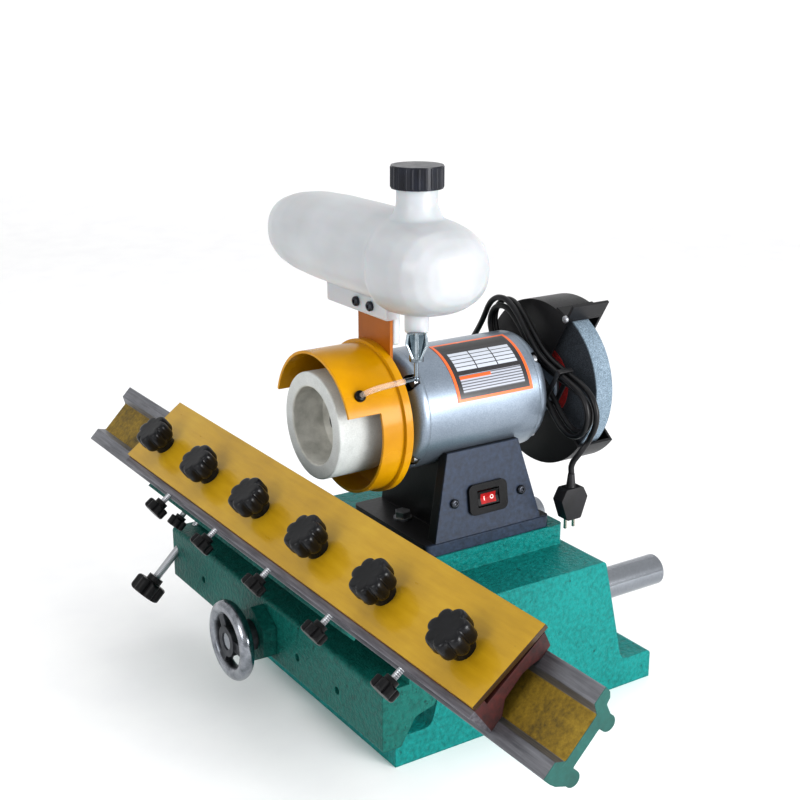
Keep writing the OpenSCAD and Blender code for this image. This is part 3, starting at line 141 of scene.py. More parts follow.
class Field:
    """A socket of a finish: sums on it add Math nodes, add() makes any other node."""

    def __init__(self, socket):
        self.socket = socket

    def add(self, kind, settings=None, sockets=None, out=0):
        tree = self.socket.id_data
        node = tree.nodes.new(kind)
        for key, value in (settings or {}).items():
            if key == "stops":
                for place, _ in value[1:-1]:
                    node.color_ramp.elements.new(place)
                for stop, (place, colour) in zip(node.color_ramp.elements, value):
                    stop.position = place
                    stop.color = colour
            else:
                setattr(node, key, value)
        for key, value in (sockets or {}).items():
            if isinstance(value, Field):
                tree.links.new(value.socket, node.inputs[key])
            else:
                node.inputs[key].default_value = value
        return Field(node.outputs[out])

    def sums(self, operation, a, b):
        return self.add("ShaderNodeMath", {"operation": operation}, {0: a, 1: b})

    def __add__(self, other):
        return self.sums("ADD", self, other)

    def __radd__(self, other):
        return self.sums("ADD", other, self)

    def __sub__(self, other):
        return self.sums("SUBTRACT", self, other)

    def __rsub__(self, other):
        return self.sums("SUBTRACT", other, self)

    def __mul__(self, other):
        return self.sums("MULTIPLY", self, other)

    def __rmul__(self, other):
        return self.sums("MULTIPLY", other, self)

    def into(self, socket):
        self.socket.id_data.links.new(self.socket, socket)


def finish(name, **constants):
    material = bpy.data.materials.new(name)
    material.use_nodes = True
    shader = material.node_tree.nodes["Principled BSDF"]
    for key, value in constants.items():
        shader.inputs[key.replace("_", " ")].default_value = value
    place = material.node_tree.nodes.new("ShaderNodeTexCoord").outputs["Object"]
    return material, shader.inputs, Field(place)


def paint(red, green, blue):
    return tuple(((c / 255 + 0.055) / 1.055) ** 2.4 if c > 10 else c / 255 / 12.92
                 for c in (red, green, blue)) + (1,)


def noise(place, scale, detail=3.0, rough=0.55, stretch=(1, 1, 1)):
    spread = place.add("ShaderNodeMapping", {}, {"Vector": place, "Scale": stretch})
    return place.add("ShaderNodeTexNoise", {},
                     {"Vector": spread, "Scale": scale, "Detail": detail, "Roughness": rough})


def shades(value, *stops):
    return value.add("ShaderNodeValToRGB", {"stops": stops}, {0: value})


def rise(value, low, high):
    return value.add("ShaderNodeMapRange", {"interpolation_type": "SMOOTHSTEP"},
                     {0: value, 1: low, 2: high})


def mixed(mask, first, second):
    return mask.add("ShaderNodeMix", {"data_type": "RGBA"}, {0: mask, 6: first, 7: second}, 2)


def relief(height, strength, depth, edge=None):
    sockets = {"Strength": strength, "Distance": depth, "Height": height}
    if edge:
        sockets["Normal"] = height.add("ShaderNodeBevel", {"samples": 4}, {"Radius": edge})
    return height.add("ShaderNodeBump", {}, sockets)


def dress(material, *names):
    for name in names:
        piece = nodes[name] if isinstance(name, str) else name
        piece.data.materials.clear()
        piece.data.materials.append(material)


cord_rubber, shader, place = finish("cord_rubber", Specular_IOR_Level=0.35)
scuff = noise(place, 60, 3)
grain = noise(place, 900, 2)
shades(scuff, (0.3, paint(9, 9, 11)), (0.7, paint(20, 20, 23))).into(shader["Base Color"])
(0.26 + 0.22 * scuff).into(shader["Roughness"])
relief(grain, 0.12, 0.0003).into(shader["Normal"])

cord = laid_tube("power_cord", cord_route, cord_d)
cord_length = laid_length(cord)
dress(cord_rubber, cord)
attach(cord, "frame")
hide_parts("cord_lead", "cord_hank", "cord_tail")


# Cord tie: a black nylon cable tie pulled round all the strands below the spindle's neck,
# with its square locking head and the cut end of the strap on the near side
def choose(piece):
    bpy.ops.object.select_all(action="DESELECT")
    piece.select_set(True)
    bpy.context.view_layer.objects.active = piece


def edit(piece, test=None):
    choose(piece)
    bpy.ops.object.mode_set(mode="EDIT")
    bpy.ops.mesh.select_mode(type="FACE")
    bpy.ops.mesh.select_all(action="SELECT" if test is None else "DESELECT")
    if test:
        pick(piece, test)


def pick(piece, test):
    mesh = bmesh.from_edit_mesh(piece.data)
    mesh.faces.ensure_lookup_table()
    for face in mesh.faces:
        face.select_set(False)
    for face in mesh.faces:
        if test(face.calc_center_median(), face.normal):
            face.select_set(True)
    bmesh.update_edit_mesh(piece.data)


def close(piece):
    bpy.ops.object.mode_set(mode="OBJECT")
    piece.select_set(False)


def apply(piece, kind, **settings):
    choose(piece)
    modifier = piece.modifiers.new(kind.lower(), kind)
    for key, value in settings.items():
        setattr(modifier, key, value)
    bpy.ops.object.modifier_apply(modifier=modifier.name)
    piece.select_set(False)


def smooth(piece, angle=35):
    choose(piece)
    bpy.ops.object.shade_smooth_by_angle(angle=math.radians(angle))
    piece.select_set(False)


def eased(name, node, width, segments=2, angle=35):
    """A merged copy of a solid with its edges rounded, standing in its place."""
    piece = nodes[node].copy()
    piece.data = nodes[node].data.copy()
    piece.name = name
    piece.parent = None
    for key in list(piece.keys()):
        del piece[key]
    bpy.context.scene.collection.objects.link(piece)
    edit(piece)
    bpy.ops.mesh.remove_doubles(threshold=0.00001)
    bpy.ops.mesh.dissolve_limited(angle_limit=math.radians(1))
    close(piece)
    apply(piece, "BEVEL", width=width, segments=segments, limit_method="ANGLE",
          angle_limit=math.radians(angle), use_clamp_overlap=True)
    smooth(piece)
    return piece


tie_nylon, shader, place = finish("tie_nylon", Roughness=0.4)
wear = noise(place, 240, 3)
shades(wear, (0.3, paint(10, 10, 12)), (0.75, paint(26, 26, 29))).into(shader["Base Color"])
relief(noise(place, 1500, 2), 0.1, 0.0002).into(shader["Normal"])

tie = eased("cable_tie", "cord_tie", 0.0004)
dress(tie_nylon, tie)
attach(tie, "frame")
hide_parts("cord_tie")


# Plug: a moulded black plug with two round pins, hanging by its tapered relief from the cord's tail
# close above the base; the pins are nickel-plated brass
def coordinate(place, index):
    return place.add("ShaderNodeSeparateXYZ", {}, {0: place}, index)


pin_top, plug_scale = 0.1666, 0.8
moulded_plug, shader, place = finish("moulded_plug", Specular_IOR_Level=0.4)
grain = noise(place, 700, 3)
pins = 1 - rise(coordinate(place, 2), pin_top - 0.0002, pin_top + 0.0002)
black = shades(noise(place, 90, 3), (0.3, paint(9, 9, 12)), (0.7, paint(20, 20, 25)))
mixed(pins, black, paint(196, 190, 178)).into(shader["Base Color"])
pins.into(shader["Metallic"])
(0.42 - 0.2 * pins + 0.1 * grain).into(shader["Roughness"])
relief(grain, 0.18, 0.0003, 0.0008).into(shader["Normal"])

plug = eased("cord_plug", "power_plug", 0.0012, 3, 30)
to_entry = Matrix.Translation(plug_entry)
plug.data.transform(to_entry @ Matrix.Scale(plug_scale, 4) @ to_entry.inverted())
dress(moulded_plug, plug, "cord_gland")
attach(plug, "frame")
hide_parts("power_plug")


# Coolant hose: a short clear vinyl tube pushed over the valve's nozzle and led into the hole in the
# cup guard's hood, so that water drips on the wheel's edge
hose_d, hose_leg, hose_rise, bend_steps = 0.005, 0.0175, 0.0135, 10
hose_elbow, nozzle_length = Vector((-0.097, -0.096, 0.327)), 0.010
hole_x, hood_r, hole_turn = -0.138, 0.065, math.radians(35)
hood_out = Vector((0, -math.cos(hole_turn), math.sin(hole_turn)))
hood_hole = Vector((hole_x, spindle.y, spindle.z)) + hood_out * hood_r
hose_corner = hood_hole + hood_out * hose_rise
hose_dir = (hose_corner - hose_elbow).normalized()
hose_top = hose_elbow + hose_dir * nozzle_length
hose_bend = []
for i in range(bend_steps + 1):
    t = i / bend_steps
    hose_bend.append(hose_corner - hose_dir * hose_leg * (1 - t) ** 2 - hood_out * hose_leg * t ** 2)
hose_route = [hose_top, (hose_top + hose_bend[0]) / 2] + hose_bend

clear_vinyl, shader, place = finish("clear_vinyl", Transmission_Weight=0.75, IOR=1.4, Roughness=0.12)
haze = noise(place, 220, 3)
shades(haze, (0.3, paint(236, 214, 196)), (0.7, paint(250, 240, 230))).into(shader["Base Color"])
relief(noise(place, 500, 2), 0.08, 0.0003).into(shader["Normal"])

hose = laid_tube("water_hose", hose_route, hose_d)
dress(clear_vinyl, hose)
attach(hose, "frame")
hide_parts("coolant_hose")
round(laid_length(hose), 4)


# Studio: a pale sweep of paper that runs under the machine and curves up behind it, a large soft
# light at the right front as from a window, and weak ones at the left and overhead
paper_size, paper_flat, paper_back, paper_bend = 9, 5.6, 2.2, 1.2
floor_paper, shader, place = finish("floor_paper", Roughness=0.85, Specular_IOR_Level=0.2)
fibre = noise(place, 14, 4)
shades(fibre, (0.3, paint(246, 246, 247)), (0.7, paint(250, 250, 250))).into(shader["Base Color"])

bpy.ops.object.select_all(action="DESELECT")
bpy.ops.mesh.primitive_grid_add(x_subdivisions=2, y_subdivisions=60, size=1)
floor = bpy.context.object
floor.name = "floor"
for corner in floor.data.vertices:
    run = (corner.co.y + 0.5) * paper_size - paper_flat
    turn = min(max(run / paper_bend, 0), math.pi / 2)
    corner.co = (corner.co.x * paper_size, min(run, 0) + paper_bend * math.sin(turn) + paper_back,
                 paper_bend * (1 - math.cos(turn)) + max(run - paper_bend * math.pi / 2, 0))
floor.data.transform(Matrix.Rotation(camera_turn, 4, "Z"))
bpy.ops.object.shade_smooth()
dress(floor_paper, floor)

sky = bpy.data.worlds.new("sky")
sky.use_nodes = True
sky.node_tree.nodes["Background"].inputs["Color"].default_value = (1, 1, 1, 1)
sky.node_tree.nodes["Background"].inputs["Strength"].default_value = 0.8
bpy.context.scene.world = sky


def soft_light(name, at, aim, width, power):
    lamp = bpy.data.lights.new(name, "AREA")
    lamp.shape = "DISK"
    lamp.size = width
    lamp.energy = power
    light = bpy.data.objects.new(name, lamp)
    light.location = at
    light.rotation_euler = (Vector(aim) - Vector(at)).to_track_quat("-Z", "Y").to_euler()
    bpy.context.scene.collection.objects.link(light)


soft_light("key", (0.65, -2.1, 0.75), (0, -0.1, 0.25), 1.3, 46)
soft_light("left", (-1.9, -0.7, 0.9), (-0.1, -0.1, 0.2), 1.0, 11)
soft_light("overhead", (0.2, 0.3, 2.2), (0, 0, 0.2), 1.6, 5)
view = bpy.context.scene.view_settings
view.view_transform = "Standard"
view.exposure = 0.2
view.gamma = 0.88


# Base: a hollow iron casting, filled and brushed with green enamel, which keeps the sand's grain as
# an orange peel with pits; it is bolted down through four holes in its foot
def cast_enamel(name, light, dark, pit):
    enamel, shader, place = finish(name, Coat_Weight=0.06, Coat_Roughness=0.2, Specular_IOR_Level=0.15)
    cloud = noise(place, 9, 4)
    sand = noise(place, 240, 3)
    fine = noise(place, 620, 2)
    spots = 1 - rise(noise(place, 130, 4, 0.7), 0.30, 0.37)
    body = shades(cloud * 0.4 + sand * 0.6, (0.38, dark), (0.62, light))
    mixed(spots * 0.75, body, pit).into(shader["Base Color"])
    (0.3 + 0.2 * sand).into(shader["Roughness"])
    relief(sand * 0.7 + fine * 0.3 - spots * 0.25, 0.6, 0.003, 0.0016).into(shader["Normal"])
    return enamel


base_enamel = cast_enamel("base_enamel", paint(18, 133, 129), paint(8, 105, 101), paint(4, 58, 56))
dress(base_enamel, "base_casting")


# Bushes and feed nut: turned bronze, pressed into the base's bores for the guide bars and the screw,
# with the fine rings of the lathe round them
turned_bronze, shader, place = finish("turned_bronze", Metallic=1.0)
turning = noise(place, 60, 3, 0.6, (14, 1, 1))
shades(turning, (0.3, paint(150, 110, 58)), (0.7, paint(188, 146, 84))).into(shader["Base Color"])
(0.26 + 0.2 * turning).into(shader["Roughness"])
relief(turning, 0.15, 0.0002, 0.0006).into(shader["Normal"])
dress(turned_bronze, "bar_bushes", "feed_nut")


# Motor stand: a black cast foot and core with a grey-blue hammered panel at the front, held on the
# base's pad by two hexagon bolts with washers; the front is painted lighter, partly as painted light,
# and the sides darker, partly as painted shade
stand_paint, shader, place = finish(
    "stand_paint", Coat_Weight=0.1, Coat_Roughness=0.3, Specular_IOR_Level=0.3)
panel_y = spindle.y - stand_half
behind_slope = coordinate(place, 1) - (coordinate(place, 2) - pad_top) * stand_slope
# the front face is painted lighter than the sides: partly the panel's paint, partly painted light on the
# lit face and painted shade on the sides
front = 1 - rise(behind_slope, panel_y + 0.0005, panel_y + 0.0025)
hammer = noise(place, 260, 3)
lit_panel = shades(hammer, (0.3, paint(28, 37, 52)), (0.7, paint(42, 55, 76)))
black = shades(hammer, (0.3, paint(14, 14, 17)), (0.7, paint(24, 25, 29)))
mixed(front, black, lit_panel).into(shader["Base Color"])
(0.36 + 0.2 * hammer).into(shader["Roughness"])
relief(hammer, 0.25, 0.0006, 0.0014).into(shader["Normal"])
dress(stand_paint, "motor_stand")

zinc, shader, place = finish("zinc_plate", Metallic=0.95)
bloom = noise(place, 120, 4)
shades(bloom, (0.3, paint(140, 142, 146)), (0.7, paint(196, 198, 202))).into(shader["Base Color"])
(0.24 + 0.24 * bloom).into(shader["Roughness"])
relief(noise(place, 900, 2), 0.08, 0.0002, 0.0006).into(shader["Normal"])
dress(zinc, "stand_bolts", "tie_bolts", "clamp_studs")


# Switch: a black bezel snapped into the stand's panel round a rocker with a red lit lens, which carries
# a bar and a ring for on and off, with a round-headed black screw on either side
gloss_black, shader, place = finish(
    "gloss_black", Coat_Weight=0.05, Coat_Roughness=0.1, Specular_IOR_Level=0.18)
dust = noise(place, 70, 4)
shades(dust, (0.3, paint(5, 5, 7)), (0.75, paint(12, 13, 15))).into(shader["Base Color"])
(0.22 + 0.2 * dust).into(shader["Roughness"])
relief(noise(place, 800, 2), 0.08, 0.0002, 0.0008).into(shader["Normal"])
dress(gloss_black, "switch_bezel")


def band(value, low, high, soft):
    return rise(value, low - soft, low + soft) * (1 - rise(value, high - soft, high + soft))


rocker_x, rocker_z, ring_at, mark_half = -0.007, 0.197, 0.0042, 0.0019
window_wide, window_high = 0.0166, 0.0094
lamp_red, shader, place = finish("lamp_red", Specular_IOR_Level=0.15, Emission_Strength=0.12)
glow = noise(place, 160, 3)
side = coordinate(place, 0) - rocker_x
upward = coordinate(place, 2) - rocker_z
flat = place.add("ShaderNodeVectorMath", {"operation": "MULTIPLY"}, {0: place, 1: (1, 0, 1)})
from_ring = place.add("ShaderNodeVectorMath", {"operation": "DISTANCE"},
                      {0: flat, 1: (rocker_x + ring_at, 0, rocker_z)}, 1)
ring = band(from_ring, 0.0012, mark_half, 0.0001)
bar = band(side, -0.0047, -0.0038, 0.0001) * band(upward, -mark_half, mark_half, 0.0001)
window = (band(side, -window_wide / 2, window_wide / 2, 0.0002)
          * band(upward, -window_high / 2, window_high / 2, 0.0002))
red = shades(glow, (0.3, paint(116, 4, 8)), (0.7, paint(156, 9, 13)))
mixed(window, paint(12, 12, 14), mixed(ring + bar, red, paint(246, 226, 222))).into(shader["Base Color"])
lit = shades(glow, (0.3, paint(150, 6, 10)), (0.7, paint(210, 20, 20)))
mixed(window, (0, 0, 0, 1), lit).into(shader["Emission Color"])
(0.3 + 0.14 * glow).into(shader["Roughness"])
relief(noise(place, 1200, 2), 0.1, 0.0002, 0.0006).into(shader["Normal"])
dress(lamp_red, "switch_rocker")

black_zinc, shader, place = finish("black_zinc", Metallic=0.9)
bloom = noise(place, 160, 4)
shades(bloom, (0.3, paint(40, 42, 47)), (0.7, paint(74, 77, 84))).into(shader["Base Color"])
(0.22 + 0.2 * bloom).into(shader["Roughness"])
relief(noise(place, 900, 2), 0.08, 0.0002, 0.0006).into(shader["Normal"])

panel_lean = math.atan(stand_slope)
panel_out = Vector((0, -math.cos(panel_lean), math.sin(panel_lean)))


def settle(piece, at, out):
    turn = Vector((0, 0, 1)).rotation_difference(Vector(out)).to_matrix().to_4x4()
    piece.data.transform(Matrix.Translation(Vector(at)) @ turn)


def again(piece, name):
    twin = piece.copy()
    twin.data = piece.data.copy()
    twin.name = name
    bpy.context.scene.collection.objects.link(twin)
    return twin


def round_screw(name, across):
    """A pan-headed screw with a socket, its underside on the origin and its head along +Z."""
    bpy.ops.object.select_all(action="DESELECT")
    bpy.ops.mesh.primitive_cylinder_add(vertices=24, radius=across / 2, depth=across * 0.3,
                                        location=(0, 0, across * 0.15))
    screw = bpy.context.object
    screw.name = name
    bpy.ops.object.transform_apply(location=True, rotation=True, scale=True)
    edit(screw, lambda centre, normal: normal.z > 0.9)
    bpy.ops.mesh.inset(thickness=across * 0.09)
    bpy.ops.transform.translate(value=(0, 0, across * 0.09))
    bpy.ops.mesh.inset(thickness=across * 0.14)
    bpy.ops.transform.translate(value=(0, 0, across * 0.04))
    bpy.ops.mesh.inset(thickness=across * 0.07)
    bpy.ops.mesh.extrude_region_move(TRANSFORM_OT_translate={"value": (0, 0, -across * 0.2)})
    close(screw)
    apply(screw, "BEVEL", width=across * 0.03, segments=2, limit_method="ANGLE")
    smooth(screw)
    return screw


def screw_set(name, across, count):
    first = round_screw(f"{name}_1", across)
    return [first] + [again(first, f"{name}_{i}") for i in range(2, count + 1)]


for screw, (x, z) in zip(screw_set("panel_screw", 0.0085, 2), ((-0.043, 0.198), (0.031, 0.196))):
    seat = Vector((x, panel_y + stand_slope * (z - pad_top), z))
    settle(screw, seat - panel_out * 0.0002, panel_out)
    dress(black_zinc, screw)
    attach(screw, "frame")


# Motor: a rolled steel barrel between two cast end bells, all in silver hammered lacquer, drawn
# together by four tie bolts, whose heads lie in pockets in the bells' rims, painted black as painted shade
def off_axis(place, y, z):
    flat = place.add("ShaderNodeVectorMath", {"operation": "MULTIPLY"}, {0: place, 1: (0, 1, 1)})
    return place.add("ShaderNodeVectorMath", {"operation": "DISTANCE"}, {0: flat, 1: (0, y, z)}, 1)


silver, shader, place = finish("silver_lacquer", Coat_Weight=0.3, Coat_Roughness=0.14, Metallic=0.7)
cloud = noise(place, 12, 3)
fleck = noise(place, 900, 2)
lacquer = shades(cloud * 0.5 + fleck * 0.5, (0.35, paint(117, 128, 140)), (0.65, paint(142, 153, 166)))
tie_reach, pocket_r = 0.0485 * math.sqrt(0.5), 0.0070
bell_left, bell_right = -0.0698, 0.0558
# the tie bolts' pockets in the bells are painted near black, as painted shade in the recesses
near_tie = sum(1 - rise(off_axis(place, spindle.y + y, spindle.z + z), pocket_r, pocket_r + 0.0002)
               for y in (-tie_reach, tie_reach) for z in (-tie_reach, tie_reach))
pocket_shade = near_tie * (1 - band(coordinate(place, 0), bell_left, bell_right, 0.0001))
mixed(pocket_shade, lacquer, paint(10, 10, 12)).into(shader["Base Color"])
(0.28 + 0.14 * fleck).into(shader["Roughness"])
relief(fleck, 0.06, 0.0003, 0.0015).into(shader["Normal"])
dress(silver, "motor_barrel", "end_bell_left", "end_bell_right")


# Label: a thin printed foil bent round the barrel's upper front and stuck on, with an orange border,
# a dark ground, a pale table of empty ruled fields and pale lines under it; it carries no words
label_from, label_width, label_low, label_turn = -0.037, 0.082, math.radians(15), math.radians(69)
label_r, label_thick, ink_edge = 0.0541, 0.0003, 0.003
bpy.ops.object.select_all(action="DESELECT")
bpy.ops.mesh.primitive_grid_add(x_subdivisions=12, y_subdivisions=40, size=1)
label = bpy.context.object
label.name = "label_foil"
for corner in label.data.vertices:
    turn = label_low + (corner.co.y + 0.5) * label_turn
    corner.co = (label_from + (corner.co.x + 0.5) * label_width,
                 spindle.y - label_r * math.cos(turn), spindle.z + label_r * math.sin(turn))
apply(label, "SOLIDIFY", thickness=label_thick, offset=1)
smooth(label)

print_foil, shader, place = finish("print_foil", Coat_Weight=0.4, Coat_Roughness=0.12)
side = (coordinate(place, 0) - label_from) * (1 / label_width)
depth = spindle.y - coordinate(place, 1)
upward = coordinate(place, 2) - spindle.z
level = (place.sums("ARCTAN2", upward, depth) - label_low) * (1 / label_turn)
ink = noise(place, 400, 3)
table_left, table_right, table_low, table_high = 0.09, 0.91, 0.42, 0.74
rows_high, columns_wide, lines_high = 15.6, 3.66, 26
within = band(side, 0.035, 0.965, ink_edge) * band(level, 0.04, 0.96, ink_edge)
fields = band(side, table_left, table_right, ink_edge)
table = fields * band(level, table_low, table_high, ink_edge)
rows = band(place.sums("FRACT", (level - table_low) * rows_high, 0.0), 0.09, 0.91, 0.03)
columns = band(place.sums("FRACT", (side - table_left) * columns_wide, 0.0), 0.025, 0.975, 0.008)
notes = fields * band(level, 0.11, 0.36, ink_edge)
lines = 1 - band(place.sums("FRACT", level * lines_high, 0.0), 0.2, 0.8, 0.06)
strip = band(side, table_left, 0.5, ink_edge) * band(level, 0.30, 0.345, ink_edge)
heading = band(side, 0.06, 0.94, ink_edge) * band(level, 0.80, 0.93, ink_edge)
ground = shades(ink, (0.3, paint(26, 25, 28)), (0.7, paint(40, 38, 42)))
body = mixed(heading, ground, paint(14, 13, 15))
body = mixed(table * rows * columns, body, paint(184, 189, 198))
body = mixed(notes * (1 - 0.8 * lines), body, paint(168, 172, 182))
body = mixed(strip, body, paint(222, 92, 30))
mixed(within, paint(226, 100, 34), body).into(shader["Base Color"])
(0.28 + 0.16 * ink).into(shader["Roughness"])
relief(ink, 0.05, 0.0002).into(shader["Normal"])
dress(print_foil, label)
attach(label, "frame")


# Windings, bearings and shafts: lacquered copper in a laminated core between two sealed bearings,
# closed in by the barrel and the bells; the bearings, the spindle with its nuts and flanges, the
# guide bars, the tilt shaft and the feed screw are ground steel
copper, shader, place = finish("lacquered_copper", Metallic=0.6)
wire = noise(place, 90, 2, 0.5, (1, 8, 8))
shades(wire, (0.3, paint(104, 52, 26)), (0.7, paint(170, 92, 50))).into(shader["Base Color"])
(0.3 + 0.2 * wire).into(shader["Roughness"])
relief(wire, 0.4, 0.0008).into(shader["Normal"])
dress(copper, "stator")

ground_steel, shader, place = finish("ground_steel", Metallic=1.0)
grinding = noise(place, 900, 2, 0.5, (3, 0.4, 0.4))
haze = noise(place, 22, 3)
shades(grinding * 0.6 + haze * 0.4, (0.35, paint(136, 140, 146)), (0.65, paint(154, 158, 164))).into(
    shader["Base Color"])
(0.14 + 0.1 * grinding).into(shader["Roughness"])
relief(grinding, 0.04, 0.0002, 0.0008).into(shader["Normal"])
dress(ground_steel, "motor_bearings", "rotor_core", "spindle_shaft", "spindle_nuts", "wheel_flanges",
      "guide_bars", "tilt_shaft", "feed_screw")


# Cup wheel: a vitrified cup of white corundum, moulded and fired, dusty grey inside and stained by
# the cutting water; it is screwed on the spindle's end
cup_inner_r = 0.035
white_grit, shader, place = finish("white_grit", Roughness=0.92, Specular_IOR_Level=0.25)
grit = noise(place, 900, 3, 0.7)
stain = noise(place, 55, 4)
inside = 1 - rise(off_axis(place, spindle.y, spindle.z), cup_inner_r - 0.0015, cup_inner_r + 0.0015)
outer = shades(grit * 0.5 + stain * 0.5, (0.32, paint(174, 177, 176)), (0.66, paint(203, 206, 205)))
inner = shades(stain, (0.34, paint(164, 163, 156)), (0.66, paint(206, 205, 198)))
mixed(inside, outer, inner).into(shader["Base Color"])
relief(grit * 0.6 + stain * 0.4, 0.55, 0.0008, 0.0012).into(shader["Normal"])
dress(white_grit, "cup_wheel")


# Grinding wheel: a grey wheel of silicon carbide whose dressed rim shows its bright speckled grain,
# its sides painted darker as painted shade, clamped with red paper blotters between turned flanges
dressed_r = 0.0728
grey_grit, shader, place = finish("grey_grit", Roughness=0.9, Specular_IOR_Level=0.3)
grain = place.add("ShaderNodeTexVoronoi", {}, {"Vector": place, "Scale": 1500}, 1)
tone = grain.add("ShaderNodeRGBToBW", {}, {0: grain})
cloud = noise(place, 45, 3)
rim = rise(off_axis(place, spindle.y, spindle.z), dressed_r - 0.0006, dressed_r + 0.0006)
# the sides' darker grey is painted shade; the rim's lighter grey is its dressed grain
side = shades(tone * 0.6 + cloud * 0.4, (0.25, paint(44, 48, 54)), (0.75, paint(72, 78, 86)))
bright = shades(tone * 0.7 + cloud * 0.3, (0.2, paint(92, 107, 118)), (0.5, paint(116, 132, 145)),
                (0.8, paint(148, 164, 177)))
mixed(rim, side, bright).into(shader["Base Color"])
relief(tone, 0.5, 0.0006, 0.0012).into(shader["Normal"])
dress(grey_grit, "grinding_wheel")

blotter_paper, shader, place = finish("blotter_paper", Roughness=0.85)
fibre = noise(place, 320, 4)
shades(fibre, (0.3, paint(150, 24, 26)), (0.7, paint(196, 44, 42))).into(shader["Base Color"])
relief(fibre, 0.2, 0.0003).into(shader["Normal"])
dress(blotter_paper, "wheel_blotters")


# Cup guard and tank bracket: folded sheet steel in deep yellow enamel with faint scratches; the
# bracket is a strip riveted behind the hood, painted a darker orange-brown as painted shade, and a
# rubber ring lines the hose's hole
def sheet_enamel(name, light, dark, gloss=0.2):
    enamel, shader, place = finish(name, Coat_Weight=0.1, Coat_Roughness=0.1, Specular_IOR_Level=0.22)
    cloud = noise(place, 16, 4)
    fine = noise(place, 420, 2)
    scratch = rise(noise(place, 110, 4, 0.7, (1, 1, 5)), 0.66, 0.72)
    body = shades(cloud, (0.32, dark), (0.68, light))
    mixed(scratch * 0.3, body, dark).into(shader["Base Color"])
    (gloss + 0.16 * cloud + 0.1 * scratch).into(shader["Roughness"])
    relief(fine * 0.6 + cloud * 0.4, 0.1, 0.0006, 0.0009).into(shader["Normal"])
    return enamel


grommet = round_screw("hose_grommet", 0.0098)
settle(grommet, hood_hole - hood_out * 0.0004, hood_out)
dress(gloss_black, grommet)
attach(grommet, "frame")
dress(sheet_enamel("guard_enamel", paint(202, 149, 0), paint(177, 124, 0)), "cup_guard")
# the bracket's orange-brown, darker than the guard's yellow, is painted shade on its shaded face
dress(sheet_enamel("bracket_enamel", paint(164, 94, 2), paint(138, 75, 0), 0.3), "tank_bracket")


# Wheel guard, cover and spark arrester: pressed sheet steel in black stove enamel; the cover is held
# by three zinc-plated screws and the arrester by one
stove_black, shader, place = finish(
    "stove_black", Coat_Weight=0.08, Coat_Roughness=0.25, Specular_IOR_Level=0.3)
cloud = noise(place, 24, 4)
fine = noise(place, 480, 3)
shades(cloud * 0.6 + fine * 0.4, (0.32, paint(12, 12, 14)), (0.7, paint(24, 24, 27))).into(
    shader["Base Color"])
(0.34 + 0.18 * fine).into(shader["Roughness"])
relief(fine, 0.14, 0.0004, 0.001).into(shader["Normal"])
dress(stove_black, "wheel_guard", "guard_cover", "spark_arrester")

arrester_at = (0.0919, -0.0596, 0.3438)
cover_face, cover_circle = 0.1335, 0.055
arrester_screw = round_screw("arrester_screw", 0.0068)
settle(arrester_screw, arrester_at, (-1, 0, 0))
cover_screws = screw_set("cover_screw", 0.009, 3)
for screw, degrees in zip(cover_screws, (80, 190, 335)):
    turn = math.radians(degrees)
    seat = spindle + cover_circle * Vector((0, math.sin(turn), -math.cos(turn)))
    settle(screw, (cover_face, seat.y, seat.z), (1, 0, 0))
for screw in [arrester_screw] + cover_screws:
    dress(zinc, screw)
    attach(screw, "frame")


# Water tank: a blow-moulded bottle of white polyethylene, wide and round at the drain and narrower
# behind, with a filler neck, a drain spout and two lugs, screwed on either side of the bracket's strip
tank_x, tank_y, tank_top, tank_half = -0.097, -0.018, 0.462, 0.140
body_wide, body_high, head_wide, head_high = 0.080, 0.075, 0.100, 0.080
shoulder_at, shoulder_run, oval_power = -0.42, 0.16, 0.86
neck_y, neck_top, neck_d, neck_foot_d, neck_flare = -0.096, 0.4965, 0.0335, 0.0495, 0.008
drain_z, drain_d, drain_length, sunk = 0.366, 0.020, 0.022, 0.012
left_lug = (-0.106, -0.064, 0.369), (-0.0941, 0.034, 0.394)
right_lug = (-0.0909, -0.051, 0.343), (-0.082, 0.000, 0.394)


def tank_oval(t):
    """The half width, half height and middle of the bottle at t, from -1 at the drain to 1 behind."""
    u = min(max((shoulder_at - t) / shoulder_run, 0), 1)
    head = u * u * (3 - 2 * u)
    closing = (1 - abs(t) ** (4.2 + 1.6 * head)) ** (1 / 2.6)
    high = body_high + (head_high - body_high) * head
    wide = body_wide + (head_wide - body_wide) * head
    return wide / 2 * closing, high / 2 * closing, tank_top - high / 2


tank_steps = [-0.997, -0.985, -0.96, -0.91, -0.84, -0.75, -0.66, -0.58, -0.55, -0.52, -0.49,
              -0.46, -0.42, -0.3, 0, 0.35, 0.6, 0.74, 0.85, 0.92, 0.97, 0.995]
bpy.ops.object.select_all(action="DESELECT")
bpy.ops.mesh.primitive_circle_add(vertices=48, radius=1, fill_type="NGON", rotation=(math.pi / 2, 0, 0))
tank = bpy.context.object
tank.name = "tank"
bpy.ops.object.transform_apply(location=True, rotation=True, scale=True)
for corner in tank.data.vertices:
    for axis in (0, 2):
        corner.co[axis] = math.copysign(abs(corner.co[axis]) ** oval_power, corner.co[axis])
edit(tank)
wide, high, middle = 1, 1, 0
here = 0
for t in tank_steps:
    new_wide, new_high, new_middle = tank_oval(t)
    there = tank_y + t * tank_half
    shift = (0, there - here, new_middle - middle)
    if t == tank_steps[0]:
        bpy.ops.transform.translate(value=(tank_x, there, new_middle))
    else:
        bpy.ops.mesh.extrude_region_move(TRANSFORM_OT_translate={"value": shift})
    bpy.ops.transform.resize(value=(new_wide / wide, 1, new_high / high),
                             center_override=(tank_x, there, new_middle))
    wide, high, middle, here = new_wide, new_high, new_middle, there
bpy.ops.mesh.select_all(action="SELECT")
